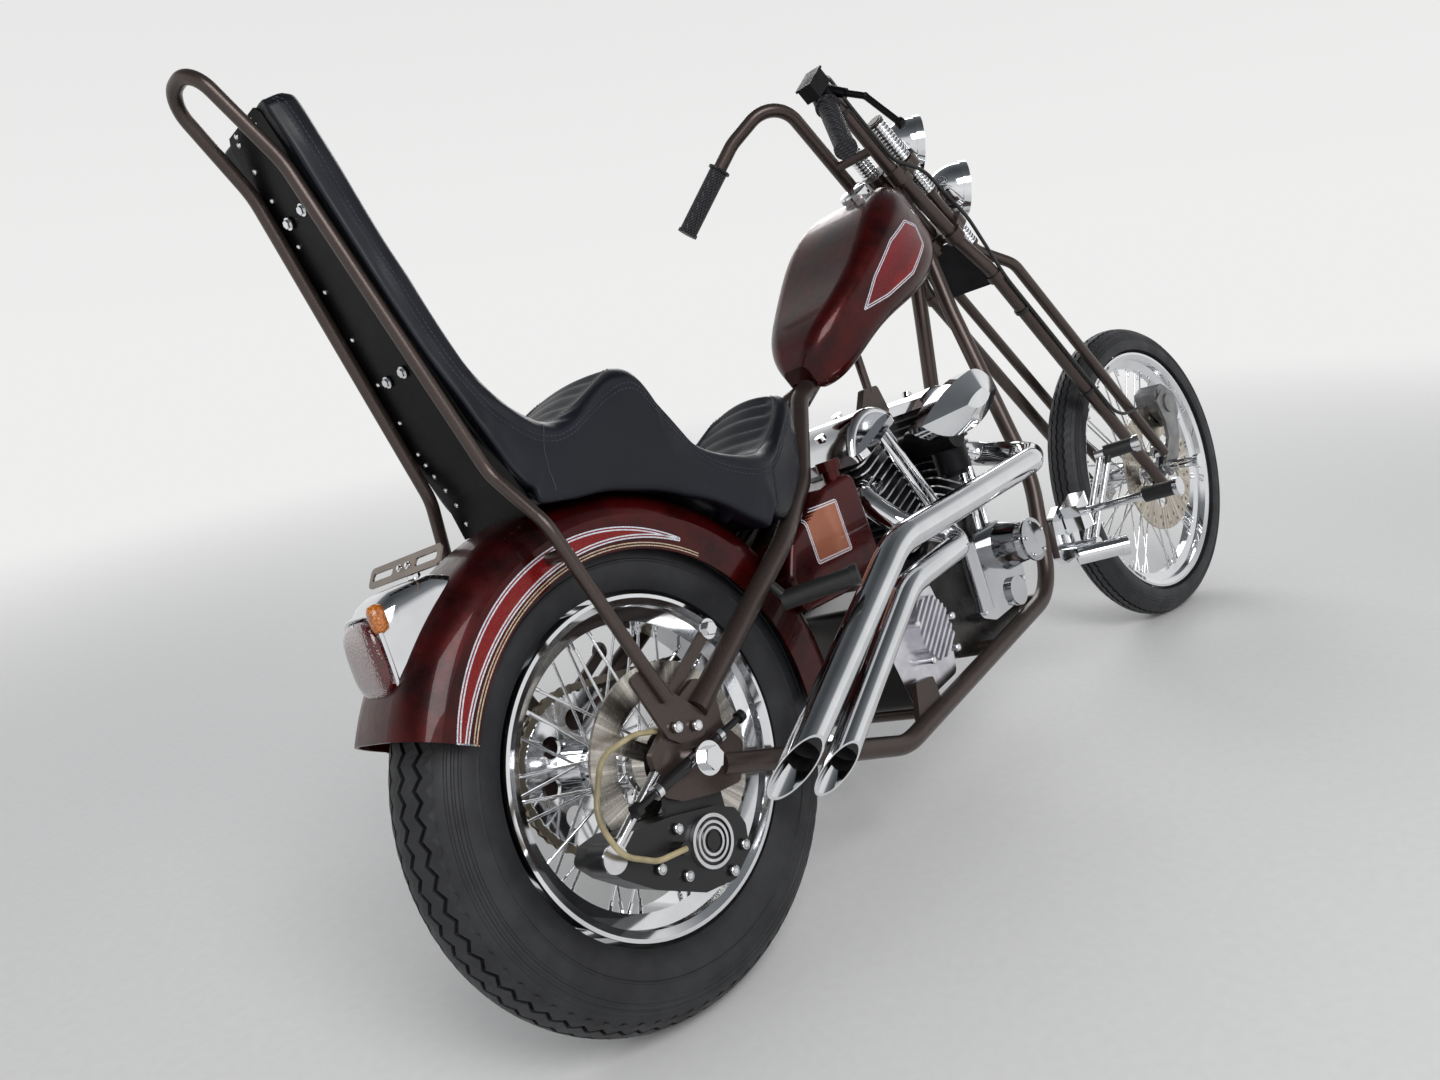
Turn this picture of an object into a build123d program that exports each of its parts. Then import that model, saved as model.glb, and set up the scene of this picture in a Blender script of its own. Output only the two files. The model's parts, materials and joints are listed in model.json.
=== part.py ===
from build123d import *
import os
from math import atan2, cos, degrees, hypot, radians, sin, sqrt

# Chopper motorcycle, leaning on its side stand. Lengths in millimetres, angles in degrees.
# The bike is laid out upright: origin at the rear axle's middle, X forward, Y left, Z up.
# The fork is laid out about the steering axis and turned, then the whole bike is leaned over.

os.makedirs("parts", exist_ok=True)

# Driving dimensions
WHEELBASE = 1680.0
FRONT_AXLE_RISE = 12.0
LEAN = 16.0
STEER = -6.0
RAKE = 38.0
NECK_X, NECK_Z = 1068.0, 687.0
FIT = 0.05
SEAT_GAP = 0.3

# Rear wheel
REAR_TYRE_R, REAR_SECTION_R = 330.0, 64.0
REAR_RIM_R, REAR_RIM_HALF = 218.0, 50.0
# Front wheel
FRONT_TYRE_R, FRONT_SECTION_R = 342.0, 41.0
FRONT_RIM_R, FRONT_RIM_HALF = 279.0, 31.0
TYRE_WALL = 9.0
RIM_WALL = 5.0
SPOKE_R = 2.0
SPOKES_PER_SIDE = 20

# Axles and hubs
REAR_AXLE_R, REAR_HUB_R, REAR_HUB_HALF = 9.5, 30.0, 62.0
FRONT_AXLE_R, FRONT_HUB_R, FRONT_HUB_HALF = 8.5, 24.0, 42.0
DISC_T = 5.0
REAR_DISC_R, REAR_DISC_Y = 126.0, -84.0
FRONT_DISC_R, FRONT_DISC_Y = 146.0, -46.0
SPROCKET_R, SPROCKET_Y, SPROCKET_T = 104.0, 91.5, 7.0

# Frame
RAIL_R = 15.0
BACKBONE_R = 18.0
NECK_R, NECK_LENGTH = 25.0, 130.0
STEM_R = 12.9
PLATE_T = 10.0
PLATE_Y = 118.0

# Fender
FENDER_R, FENDER_HALF, FENDER_T = 360.0, 84.0, 3.5
FENDER_SIDE_R = 272.0
FENDER_FRONT_ANGLE, FENDER_TIP_ANGLE = -6.0, 153.0

# Fork
LEG_Y = 80.0
LEG_R = 13.0
FRONT_LEG_N, FRONT_TOP_N, FRONT_LEG_R = 74.0, 42.0, 11.0
REAR_LEG_N = 3.0
ROCKER_T = 12.0
SPRING_Y, SPRING_R = 42.0, 17.0
COIL_PITCH, COIL_DEPTH = 7.5, 3.5

# Handlebars
BAR_R = 12.7
GRIP_R, GRIP_LENGTH = 17.0, 125.0

# Side stand
STAND_R = 10.0
STAND_PIVOT = (600.0, 166.0, -140.0)
STAND_FOOT_X, STAND_FOOT_Y = 690.0, 322.0
STAND_FOLDED = (-1.0, 0.08, 0.0)
KNUCKLE_R, KNUCKLE_HALF, STAND_PIN_R = 13.0, 10.0, 6.0
FOOT_PAD_R, FOOT_PAD_T = 24.0, 6.0


# Small tools
def rod(a, b, r):
    a, b = Vector(*a), Vector(*b)
    return Solid.make_cylinder(r, (b - a).length, Plane(origin=a, z_dir=b - a))


def tube(points, r, bends):
    path = FilletPolyline(*[Vector(*p) for p in points], radius=bends)
    section = Plane(origin=path @ 0, z_dir=path % 0) * Circle(r)
    return sweep(section, path=path).solid()


def other_side(shape):
    return mirror(shape, about=Plane.XZ)


def flip(p):
    return (p[0], -p[1], p[2])


def both(shape):
    return [shape, other_side(shape)]


def cut(shape, *others):
    for other in others:
        shape = shape - other
    return shape


def plate_xz(points, y0, y1, corner=0):
    face = make_face(Polyline(*[(x, z) for x, z in points], close=True))
    if corner:
        face = fillet(face.vertices(), corner)
    # A sketch on XZ looks along +Y from below, so it is raised towards -Y
    return extrude(Plane.XZ * face, amount=-(y1 - y0)).move(Location((0, y0, 0)))


def disc_y(r, y0, y1, x=0.0, z=0.0):
    return rod((x, y0, z), (x, y1, z), r)


def turned(lines):
    # Lines hold points of radius and height; the closed outline is spun about Z
    edges = []
    for line in lines:
        spots = [(r, 0, t) for r, t in line]
        edges.append(ThreePointArc(*spots) if len(spots) == 3 else Polyline(*spots))
    return revolve(make_face(edges), axis=Axis.Z)


def dome(r, base, height):
    # The outline of a round cap, an arc about a point of the axis
    ball = (r**2 + height**2) / (2 * height)
    half = degrees(atan2(r, ball - height)) / 2
    across, up = polar(ball, 90 - half)
    return [(r, base), (across, base + height - ball + up), (0, base + height)]


def aimed(solid, at, along):
    return Plane(origin=Vector(*at), z_dir=Vector(*along)).location * solid


def ring(at, along, outer, inner, height):
    a = Vector(*at)
    b = a + Vector(*along).normalized() * height
    return rod(a, b, outer) - rod(a * 2 - b, b * 2 - a, inner)


def largest(shape):
    return max(shape.solids(), key=lambda s: s.volume)


def polar(r, angle):
    return (r * cos(radians(angle)), r * sin(radians(angle)))


# Wheels, each about its own axle at the origin
def tyre(outer_r, section_r, rim_r, rim_half):
    major = outer_r - section_r
    bead_y = rim_half - 7.0
    outer_x = rim_r + 6.0
    outer_y = sqrt(section_r**2 - (major - outer_x) ** 2)
    inner_r = section_r - TYRE_WALL
    heel_r = rim_r - 9.0
    inner_y = bead_y - 11.0
    inner_x = major - sqrt(inner_r**2 - inner_y**2)
    outer = ThreePointArc((outer_x, outer_y), (outer_r, 0), (outer_x, -outer_y))
    inner = ThreePointArc((inner_x, inner_y), (major + inner_r, 0), (inner_x, -inner_y))
    sides = []
    for s in (1, -1):
        sides.append(
            Polyline(
                (outer_x, s * outer_y),
                (rim_r + SEAT_GAP, s * bead_y),
                (heel_r, s * bead_y),
                (heel_r, s * inner_y),
                (inner_x, s * inner_y),
            )
        )
    face = make_face([outer, inner] + sides)
    return revolve(face, axis=Axis.Y).solid()


def rim(rim_r, rim_half):
    # Columns: radius below the lip, half-width
    shape = [(0, 0), (0, -6.7), (9.3, -6.7), (9.3, -20), (28, -27)]
    up = [(rim_r - d, rim_half + w) for d, w in shape]
    under = [(rim_r - d - RIM_WALL, rim_half + w + 1.5) for d, w in reversed(shape[3:])]
    under += [(rim_r - 14, rim_half - 5), (rim_r - 5, rim_half)]
    left = up + under
    # The floor joins the two sides, so each half is closed on the middle plane
    half = left[:5] + [(rim_r - 28, 0), (rim_r - 28 - RIM_WALL, 0)] + left[5:]
    one = make_face(Polyline(*half, close=True))
    two = mirror(one, about=Plane.XZ)
    return revolve(one + two, axis=Axis.Y).solid()


def laced_wheel(rim_r, rim_half, hub_r, hub_half, axle_r, spin):
    floor_r = rim_r - 28 - RIM_WALL / 2
    flange_r = hub_r + 12.0
    flange_y = hub_half - 22.0
    hub = disc_y(hub_r, -hub_half, hub_half)
    body = rim(rim_r, rim_half)
    spokes = []
    step = 360.0 / SPOKES_PER_SIDE
    for side in (1, -1):
        hub = hub + disc_y(flange_r, side * flange_y - 3, side * flange_y + 3)
        for i in range(SPOKES_PER_SIDE):
            lead = 1 if i % 2 else -1
            base = step * i + (step / 4 if side > 0 else -step / 4)
            x0, z0 = polar(flange_r - 5, base - lead * spin)
            x1, z1 = polar(floor_r, base + lead * step / 4)
            spokes.append(
                rod((x0, side * (flange_y + lead * 2.5), z0), (x1, side * 6.0, z1), SPOKE_R)
            )
    body = body.fuse(hub, *spokes)
    bore = disc_y(axle_r + FIT, -hub_half - 1, hub_half + 1)
    return (body - bore).solid()


def rear_disc():
    # A wide polished ring on a five-armed carrier
    y0 = REAR_DISC_Y - DISC_T / 2
    y1 = REAR_DISC_Y + DISC_T / 2
    disc = disc_y(REAR_DISC_R, y0, y1) - disc_y(REAR_DISC_R - 38, y0 - 1, y1 + 1)
    arm = Box(REAR_DISC_R - 50, DISC_T, 22).move(Location((68, REAR_DISC_Y, 0)))
    arms = [arm.rotate(Axis.Y, 72.0 * i) for i in range(5)]
    disc = disc.fuse(disc_y(46, y0, -REAR_HUB_HALF), *arms)
    disc = disc - disc_y(REAR_AXLE_R + 6, y0 - 1, y1 + 60)
    return disc.solid()


def front_disc():
    y0 = FRONT_DISC_Y - DISC_T / 2
    y1 = FRONT_DISC_Y + DISC_T / 2
    disc = disc_y(FRONT_DISC_R, y0, y1)
    disc = disc + disc_y(32, y0, -FRONT_HUB_HALF)
    holes = []
    for row in (FRONT_DISC_R - 12, FRONT_DISC_R - 28):
        for i in range(24):
            x, z = polar(row, 15.0 * i + row / 4)
            holes.append(disc_y(4.0, y0 - 1, y1 + 1, x, z))
    disc = disc - holes
    windows = []
    for i in range(5):
        x, z = polar(72, 72.0 * i)
        windows.append(disc_y(24, y0 - 1, y1 + 1, x, z))
    disc = disc - windows
    disc = disc - disc_y(FRONT_AXLE_R + 5, y0 - 1, y1 + 60)
    return disc.solid()


def sprocket():
    y0 = SPROCKET_Y - SPROCKET_T / 2
    y1 = SPROCKET_Y + SPROCKET_T / 2
    plate = disc_y(SPROCKET_R, y0, y1)
    holes = []
    for i in range(8):
        x, z = polar(70, 45.0 * i)
        holes.append(disc_y(15, y0 - 1, y1 + 1, x, z))
    plate = plate - holes
    plate = plate + disc_y(38, REAR_HUB_HALF, y0 + 1)
    plate = plate - disc_y(REAR_AXLE_R + 6, REAR_HUB_HALF - 1, y1 + 1)
    return plate.solid()


# Frame, welded in one piece
SEAT_STAY = [(28, -129, 54), (300, -106, 199), (432, -64, 270), (550, -15, 396), (600, 0, 412)]
LOWER_RAIL = [
    (42, -122, -25),
    (390, -130, -148),
    (940, -112, -78),
    (1030, -98, 125),
    (1052, -34, 480),
    (1070, -10, 655),
]
BACKBONE_REAR = (572, 0, 396)
AXLE_PLATE = [(-62, -22), (-61, 30), (-30, 50), (0, 74), (42, 90), (70, 74), (62, 22), (86, -12)]
AXLE_PLATE += [(60, -56), (16, -52), (-38, -38)]
FENDER_STRUT = [(-6, 84), (6, 74), (108, 132), (102, 146)]
GEARBOX_LUG = [(440, -136), (462, -76), (508, -82), (510, -134)]
HEAD_MOUNT = [(700, 330), (794, 330), (780, 384), (740, 384)]


def steering_point(s):
    return (NECK_X + s * sin(radians(RAKE)), 0, NECK_Z - s * cos(radians(RAKE)))


def frame(covers):
    stay = tube(SEAT_STAY, RAIL_R, [250, 70, 60])
    rail = tube(LOWER_RAIL, RAIL_R, [110, 110, 260, 400])
    backbone = rod(BACKBONE_REAR, (NECK_X - 8, 0, NECK_Z - 8), BACKBONE_R)
    neck = rod(steering_point(-NECK_LENGTH / 2), steering_point(NECK_LENGTH / 2), NECK_R)
    plate = plate_xz(AXLE_PLATE, -PLATE_Y - PLATE_T, -PLATE_Y, 9)
    strut = plate_xz(FENDER_STRUT, -PLATE_Y, 6 - PLATE_Y, 5)
    gearbox_lug = plate_xz(GEARBOX_LUG, -126, -116, 6)
    post = rod((760, 0, 520), (760, 0, 372), 8)
    mount = cut(plate_xz(HEAD_MOUNT, -7, 7, 8) + post, *covers)
    cross = [
        rod((392, -130, -146), (392, 130, -146), 13),
        rod((500, -126, -134), (500, 126, -134), 12),
        rod((720, -118, -106), (720, 118, -106), 12),
        rod((905, -112, -82), (905, 112, -82), 13),
        rod((408, -74, 256), (408, 74, 256), 12),
    ]
    fender_arm = rod((408, 0, 256), (290, 0, 200), 9) - fender_solid(-SEAT_GAP, -30, 200, 120)
    axis = stand_axis()
    pivot = Vector(*STAND_PIVOT)
    collar_low = pivot + axis * (KNUCKLE_HALF + SEAT_GAP)
    collar_top = pivot + axis * (KNUCKLE_HALF + 20)
    collar = rod(tuple(collar_low), tuple(collar_top), KNUCKLE_R)
    pin = rod(tuple(pivot - axis * (KNUCKLE_HALF + 5)), tuple(collar_top), STAND_PIN_R)
    pin_head_top = pivot - axis * (KNUCKLE_HALF + SEAT_GAP)
    pin_head = rod(tuple(pivot - axis * (KNUCKLE_HALF + 5)), tuple(pin_head_top), KNUCKLE_R - 3)
    stand_arm = rod((600, 130, -110), tuple(collar_low + axis * 12), 6.5)
    cross += [fender_arm, collar, pin, pin_head, stand_arm, gearbox_lug, largest(mount)]
    for half in (stay, rail, plate, strut):
        cross += both(half)
    body = neck.fuse(backbone, *cross)
    body = body - rod(steering_point(-NECK_LENGTH), steering_point(NECK_LENGTH), STEM_R + FIT)
    body = body - disc_y(REAR_AXLE_R, -200, 200)
    return body.solid()


# The tension rod's two ends, x and z
ADJUSTER = [(-120, -14), (87, 22)]
ADJUSTER_OUT = 13.0


def rear_axle():
    # Across each end a threaded rod runs through a block and sets the chain's tension
    end = PLATE_Y + PLATE_T
    axle = disc_y(REAR_AXLE_R, -end - 34, end + 34)
    parts = []
    for side in (1, -1):
        y = side * (end + ADJUSTER_OUT)
        parts.append(disc_y(16, side * end, side * (end + 26)))
        parts.append(disc_y(21, side * (end + 25), side * (end + 28)))
        parts.append(disc_y(14, side * (REAR_HUB_HALF + 1.0), side * PLATE_Y))
        nut = extrude(Plane.XZ * RegularPolygon(15, 6), amount=12)
        parts.append(nut.move(Location((0, side * (end + 33) + 6, 0))))
        low, high = Vector(ADJUSTER[0][0], y, ADJUSTER[0][1]), Vector(ADJUSTER[1][0], y, ADJUSTER[1][1])
        along = (high - low).normalized()
        parts.append(rod(low, high, 4.5))
        # Columns: place along the rod, length, radius
        for start, length, r in ((0, 9, 9), (37, 8, 9.5), (45, 96, 7.5), (156, 8, 9.5), (201, 9, 8)):
            parts.append(rod(low + along * start, low + along * (start + length), r))
    return axle.fuse(*parts).solid()


def fender_profile(offset):
    r = FENDER_R - offset
    w = FENDER_HALF - offset
    outer = [(FENDER_SIDE_R, w), (r - 42, w), (r - 12, w - 20), (r - 1.5, w - 48), (r, 0)]
    return outer


def fender_blank(offset):
    pts = fender_profile(offset)
    half = Polyline(pts[0], pts[1])
    shoulder = ThreePointArc(pts[1], pts[2], pts[3])
    crown = ThreePointArc(pts[3], pts[4], flip((pts[3][0], pts[3][1], 0))[:2])
    back_shoulder = mirror(shoulder, about=Plane.XZ)
    back_side = mirror(half, about=Plane.XZ)
    return [half, shoulder, crown, back_shoulder, back_side]


def fender_solid(offset, first, last, floor_r):
    pts = fender_profile(offset)
    w = pts[0][1]
    edges = fender_blank(offset)
    base = Polyline(pts[0], (floor_r, w), (floor_r, -w), (pts[0][0], -w))
    face = make_face(edges + [base])
    solid = revolve(face, axis=Axis((0, 0, 0), (0, -1, 0)), revolution_arc=last - first)
    return solid.rotate(Axis.Y, -first)


def rear_fender():
    outer = fender_solid(0, FENDER_FRONT_ANGLE, FENDER_TIP_ANGLE, 200)
    inner = fender_solid(FENDER_T, FENDER_FRONT_ANGLE - 4, FENDER_TIP_ANGLE + 4, 190)
    shell = outer - inner
    lower = disc_y(FENDER_SIDE_R, -200, 200)
    return (shell - lower).solid()


# Seat and backrest
SEAT_SIDE = [
    (-62, 340),
    (-70, 404),
    (-86, 418),
    (-94, 474),
    (-50, 470),
    (2, 450),
    (84, 486),
    (134, 496),
    (160, 452),
    (192, 376),
    (285, 334),
    (357, 351),
    (425, 410),
    (452, 402),
    (464, 352),
    (420, 290),
    (285, 225),
    (100, 310),
]
# Columns: x, half-width
SEAT_PLAN = [(-130, 84), (40, 96), (140, 104), (270, 132), (360, 112), (470, 50)]


def seat(fender_outside, frame_outside):
    side = plate_xz(SEAT_SIDE, -150, 150)
    outline = [(x, w) for x, w in SEAT_PLAN] + [(x, -w) for x, w in reversed(SEAT_PLAN)]
    plan = extrude(make_face(Polyline(*outline, close=True)), amount=700)
    body = side & plan
    body = body - fender_outside - frame_outside
    return max(body.solids(), key=lambda s: s.volume)


SISSY = [
    (-16, -136.6, 84),
    (-38, -136.6, 146),
    (-84, -118, 330),
    (-104, -72, 408),
    (-205, -46, 805),
    (-268, -36, 918),
]
SISSY_R = 8.5
SISSY_FOOT = [(-58, 124), (-32, 40), (-16, 27), (22, 21), (40, 34), (28, 54), (-12, 98), (-38, 130)]
BOARD_T = 6.0
BACK_HALF_LOW, BACK_HALF_TOP = 92.0, 78.0


def sissy_bar(frame_outside):
    path = SISSY + [flip(p) for p in reversed(SISSY)]
    bends = [200, 60, 60, 120, 34, 34, 120, 60, 60, 200]
    bar = tube(path, SISSY_R, bends)
    end = -PLATE_Y - PLATE_T
    spacer = rod((-72, -FENDER_HALF, 290), (-72, -120, 290), 8)
    foot = plate_xz(SISSY_FOOT, end - 6, end, 6)
    bolts = [disc_y(6, end - 10, end - 5, x, z) for x, z in ((-17, 48), (13, 38))]
    extras = [spacer, foot] + bolts
    for shape in list(extras):
        extras.append(other_side(shape))
    return largest(bar.fuse(*extras) - frame_outside)


def back_line(z, ahead):
    # The pad's back follows the legs of the sissy bar
    (x0, _, z0), (x1, _, z1) = SISSY[3], SISSY[4]
    return (x0 + (x1 - x0) * (z - z0) / (z1 - z0) + ahead, z)


BACK_FRONT = [(-62, 478), (-92, 506), (-104, 558), (-131, 660), (-153, 773), (-186, 868)]


def backrest_board():
    near = SISSY_R + SEAT_GAP
    outline = [back_line(462, near), back_line(880, near)]
    outline += [back_line(880, near + BOARD_T), back_line(462, near + BOARD_T)]
    return plate_xz(outline, -BACK_HALF_TOP, BACK_HALF_TOP)


def backrest_pad():
    near = SISSY_R + BOARD_T + 2 * SEAT_GAP
    outline = [back_line(478, near)] + BACK_FRONT + [back_line(886, near + 14), back_line(880, near)]
    return plate_xz(outline, -BACK_HALF_LOW, BACK_HALF_LOW)


# Tank, along the backbone: u is the distance from its rear end, v the height above its line
TANK_SECTIONS = [
    # u, low v, high v, half-width, corner radius
    (8, -6, 42, 26, 12),
    (120, -22, 86, 88, 30),
    (300, -46, 122, 120, 44),
    (424, -36, 118, 96, 40),
    (466, -14, 90, 66, 28),
    (488, 0, 56, 36, 18),
]


def backbone_plane(u):
    run = Vector(NECK_X - 8 - BACKBONE_REAR[0], 0, NECK_Z - 8 - BACKBONE_REAR[2])
    along = run.normalized()
    origin = Vector(*BACKBONE_REAR) + along * (u + 24)
    return Plane(origin=origin, x_dir=(0, 1, 0), z_dir=along)


def fuel_tank(frame_outside):
    faces = []
    for u, low, high, half, corner in TANK_SECTIONS:
        middle = Location((0, (low + high) / 2))
        faces.append(backbone_plane(u) * (middle * RectangleRounded(2 * half, high - low, corner)))
    body = loft(faces)
    body = body - frame_outside
    # The tunnel is open below, so the tank can be lifted off the backbone
    tunnel_half = BACKBONE_R + 4
    section = Location((0, -60)) * Rectangle(2 * tunnel_half, 150)
    tunnel = extrude(backbone_plane(-40) * section, amount=620)
    body = body - tunnel
    return max(body.solids(), key=lambda s: s.volume)


def fuel_cap(tank):
    base = backbone_plane(404)
    centre = base.origin + base.y_dir * 100.0 - base.x_dir * 26.0
    plane = Plane(origin=centre, z_dir=base.y_dir)
    side = [(0, 0), (24, 0), (24, 30), (27, 31), (27, 39), (24, 42)]
    cap = turned([side, dome(24, 42, 3), [(0, 45), (0, 0)]])
    cap = plane.location * cap - tank
    return max(cap.solids(), key=lambda s: s.center().Z)


def oil_tank(frame_outside, fender_outside):
    outline = [(306, 92), (292, 150), (318, 196), (424, 252), (506, 262), (508, 130), (470, 92)]
    body = plate_xz(outline, -108, 104, 16)
    sides = [e for e in body.edges() if abs(abs(e.center().Y) - 106) < 2.1]
    body = fillet(sides, 10)
    body = largest(body - frame_outside - fender_outside)
    neck = rod((486, -80, 240), (486, -80, 276), 14)
    cap = rod((486, -80, 272), (486, -80, 288), 19)
    return (body + neck + cap).solid()


# Engine
CRANK_X, CRANK_Z = 760.0, 0.0
VEE_HALF = 22.5
CYL_BASE, CYL_TOP = 118.0, 318.0
BARREL_R = 42.0
FIN_HALF = 66.0
FIN_T, FIN_PITCH = 3.0, 15.0
CASE_HALF = 82.0


def cylinder_plane(side):
    angle = radians(VEE_HALF) * side
    up = (sin(angle), 0, cos(angle))
    return Plane(origin=(CRANK_X, 0, CRANK_Z), x_dir=(cos(angle), 0, -sin(angle)), z_dir=up)


def cylinder_barrel(side):
    plane = cylinder_plane(side)
    barrel = Cylinder(BARREL_R, CYL_TOP - CYL_BASE, align=(Align.CENTER, Align.CENTER, Align.MIN))
    body = barrel.move(Location((0, 0, CYL_BASE)))
    count = int((CYL_TOP - CYL_BASE) / FIN_PITCH)
    for i in range(count):
        fin = extrude(RectangleRounded(2 * FIN_HALF, 2 * FIN_HALF, 20), amount=FIN_T)
        body = body + fin.move(Location((0, 0, CYL_BASE + 8 + i * FIN_PITCH)))
    return (plane.location * body).solid()


def cylinders():
    front, rear = cylinder_barrel(1), cylinder_barrel(-1)
    # The two barrels stay apart on the middle plane of the vee
    keep = Box(400, 400, 800)
    front = front - keep.moved(Location((CRANK_X - 200.5, 0, 200)))
    rear = rear - keep.moved(Location((CRANK_X + 200.5, 0, 200)))
    return [front.solid(), rear.solid()]


def rocker_cover(side):
    # An arched chrome cover with two hollow bolts on its outer face
    base, top = (-70, 0), (70, 0)
    low, high = (-70, 18), (70, 18)
    lines = [Polyline(low, base, top, high), ThreePointArc(high, (0, 54), low)]
    cover = extrude(Plane.XZ * make_face(lines), amount=70, both=True)
    rim = [e for e in cover.edges() if abs(e.center().Y) > 69 and e.center().Z > 20]
    cover = fillet(rim, 12)
    bolts = [rod((x, 0, 40), (x, 0, 56 - abs(x) / 9), 9) for x in (-34, 34)]
    foot = extrude(RectangleRounded(136, 170, 24), amount=12)
    cover = cover.fuse(foot, *bolts)
    return (cylinder_plane(side).location * cover.move(Location((0, 0, CYL_TOP)))).solid()


def rocker_covers():
    return [rocker_cover(1), rocker_cover(-1)]


def crankcase(cyls, frame_outside):
    outline = [(640, -96), (606, -20), (628, 60), (690, 116), (830, 116), (892, 62)]
    outline += [(906, -20), (868, -90), (800, -112), (700, -112)]
    body = plate_xz(outline, -CASE_HALF, CASE_HALF, 20)
    for side in (1, -1):
        spigot = Cylinder(60, CYL_BASE - 40, align=(Align.CENTER, Align.CENTER, Align.MIN))
        body = body + cylinder_plane(side).location * spigot.move(Location((0, 0, 40)))
    lug = plate_xz([(856, -50), (900, -30), (920, -78), (892, -100), (840, -100)], -40, 40)
    boss = disc_y(60, CASE_HALF - 1, PRIMARY_Y0, CRANK_X, CRANK_Z)
    body = body + lug + boss
    return cut(body, frame_outside, *cyls).solid()


GEAR_X, GEAR_Z = 806.0, 36.0
POINTS_X, POINTS_Z = 838.0, 41.0


def gear_cover():
    y0 = -CASE_HALF
    outline = [(700, -50), (690, 20), (730, 82), (840, 90), (880, 40), (870, -34), (820, -60), (740, -66)]
    body = plate_xz(outline, y0 - 34, y0, 22)
    nose = [(44, 0), (34, 40), (30, 52)]
    cover = [(36, 52), (38, 56), (38, 60), (30, 62), (0, 63)]
    points = [(0, 0)] + nose + cover
    horn = aimed(turned([points + [(0, 0)]]), (POINTS_X, y0 - 33, POINTS_Z), (0, -1, 0))
    second = disc_y(26, y0 - 42, y0 - 33, GEAR_X + 18, GEAR_Z - 76)
    filter_tube = rod((698, y0 - 50, 78), (693, y0 - 50, -36), 15)
    shelf = Box(20, 40, 60).move(Location((698, y0 - 20, 22)))
    return body.fuse(horn, second, filter_tube, shelf).solid()


def pushrod_tubes(*neighbours):
    tubes = []
    # Columns: side of the vee, offset across, foot x, foot z
    for side, across, foot_x in ((-1, 14, 716), (-1, 46, 746), (1, -46, 800), (1, -14, 832)):
        plane = cylinder_plane(side)
        top = plane.origin + plane.z_dir * (CYL_TOP - 1) + plane.x_dir * across * 0.6
        top = (top.X, -FIN_HALF - 9, top.Z)
        whole = cut(rod((foot_x, -CASE_HALF - 16, 80), top, 7.5), *neighbours)
        tubes.append(max(whole.solids(), key=lambda s: s.volume))
    return tubes


def carburettor(cyls):
    x = CRANK_X
    body = disc_y(26, -150, -60, x - 12, 262)
    parts = [
        rod((x - 12, -66, 262), (x - 12, -20, 262), 20),
        rod((x - 110, -20, 262), (x + 90, -20, 262), 18),
        rod((x + 10, -112, 198), (x + 10, -112, 262), 30),
        rod((x + 10, -112, 190), (x + 10, -112, 200), 22),
    ]
    return largest(cut(body.fuse(*parts), *cyls))


# Corners and the middles of the arcs between them, in turn
AIR_OUTLINE = [(618, 290), (668, 264), (727, 257), (812, 272), (873, 310), (846, 344), (803, 352), (702, 328)]


def air_cleaner():
    # A teardrop of four arcs, whose outer half tapers to a ridge
    middle = (760, 302)

    def outline(scale):
        spots = []
        for x, z in AIR_OUTLINE:
            spots.append((middle[0] + (x - middle[0]) * scale, middle[1] + (z - middle[1]) * scale))
        p = spots
        return make_face([ThreePointArc(p[i], p[i + 1], p[(i + 2) % 8]) for i in (0, 2, 4, 6)])

    base = extrude(Plane.XZ * outline(1.0), amount=28).move(Location((0, -150, 0)))
    inner = (Plane.XZ * outline(1.0)).move(Location((0, -178, 0)))
    outer = (Plane.XZ * outline(0.3)).move(Location((0, -208, 0)))
    return largest(base + loft([inner, outer]))


def transmission(case, frame_outside):
    outline = [(470, -124), (450, -20), (470, 52), (560, 66), (606, 40), (620, -40), (600, -108)]
    body = plate_xz(outline, -104, 78, 14)
    # The side cover is an octagon with slanting ribs
    x, z = 560, -18
    octagon = [(x + 40, z + 22), (x + 18, z + 50), (x - 22, z + 50), (x - 42, z + 26)]
    octagon += [(x - 40, z - 24), (x - 16, z - 52), (x + 20, z - 52), (x + 42, z - 26)]
    cover = plate_xz(octagon, -120, -103, 8)
    room = plate_xz(octagon, -128, -119, 8)
    ribs = []
    for i in range(9):
        bar = Box(130, 5, 4.5).move(Location((0, -121, -44 + 11 * i)))
        ribs.append((bar.rotate(Axis.Y, -38)).move(Location((x, 0, z))) & room)
    bolts = [disc_y(5, -122, -103, x + dx, z + dz) for dx, dz in ((48, 2), (36, -48), (-36, -44), (-46, 20))]
    body = body.fuse(cover, *ribs, *bolts)
    return largest(cut(body, case, frame_outside))


PRIMARY_Y0, PRIMARY_Y1 = 106.0, 168.0


def primary_case():
    # Columns: ring radius added, inner face, outer face
    parts = []
    for grow, y0, y1 in ((0, PRIMARY_Y0, PRIMARY_Y1), (-16, PRIMARY_Y1 - 1, PRIMARY_Y1 + 8)):
        rear_r, front_r = 92 + grow, 84 + grow
        parts.append(disc_y(rear_r, y0, y1, 520, 0))
        parts.append(disc_y(front_r, y0, y1, 768, 0))
        web = [(520, -rear_r), (520, rear_r), (768, front_r), (768, -front_r)]
        parts.append(plate_xz(web, y0, y1))
    parts.append(disc_y(52, PRIMARY_Y1 + 7, PRIMARY_Y1 + 14, 520, 0))
    parts.append(disc_y(26, PRIMARY_Y1 + 7, PRIMARY_Y1 + 12, 768, 0))
    return parts[0].fuse(*parts[1:]).solid()


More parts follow.
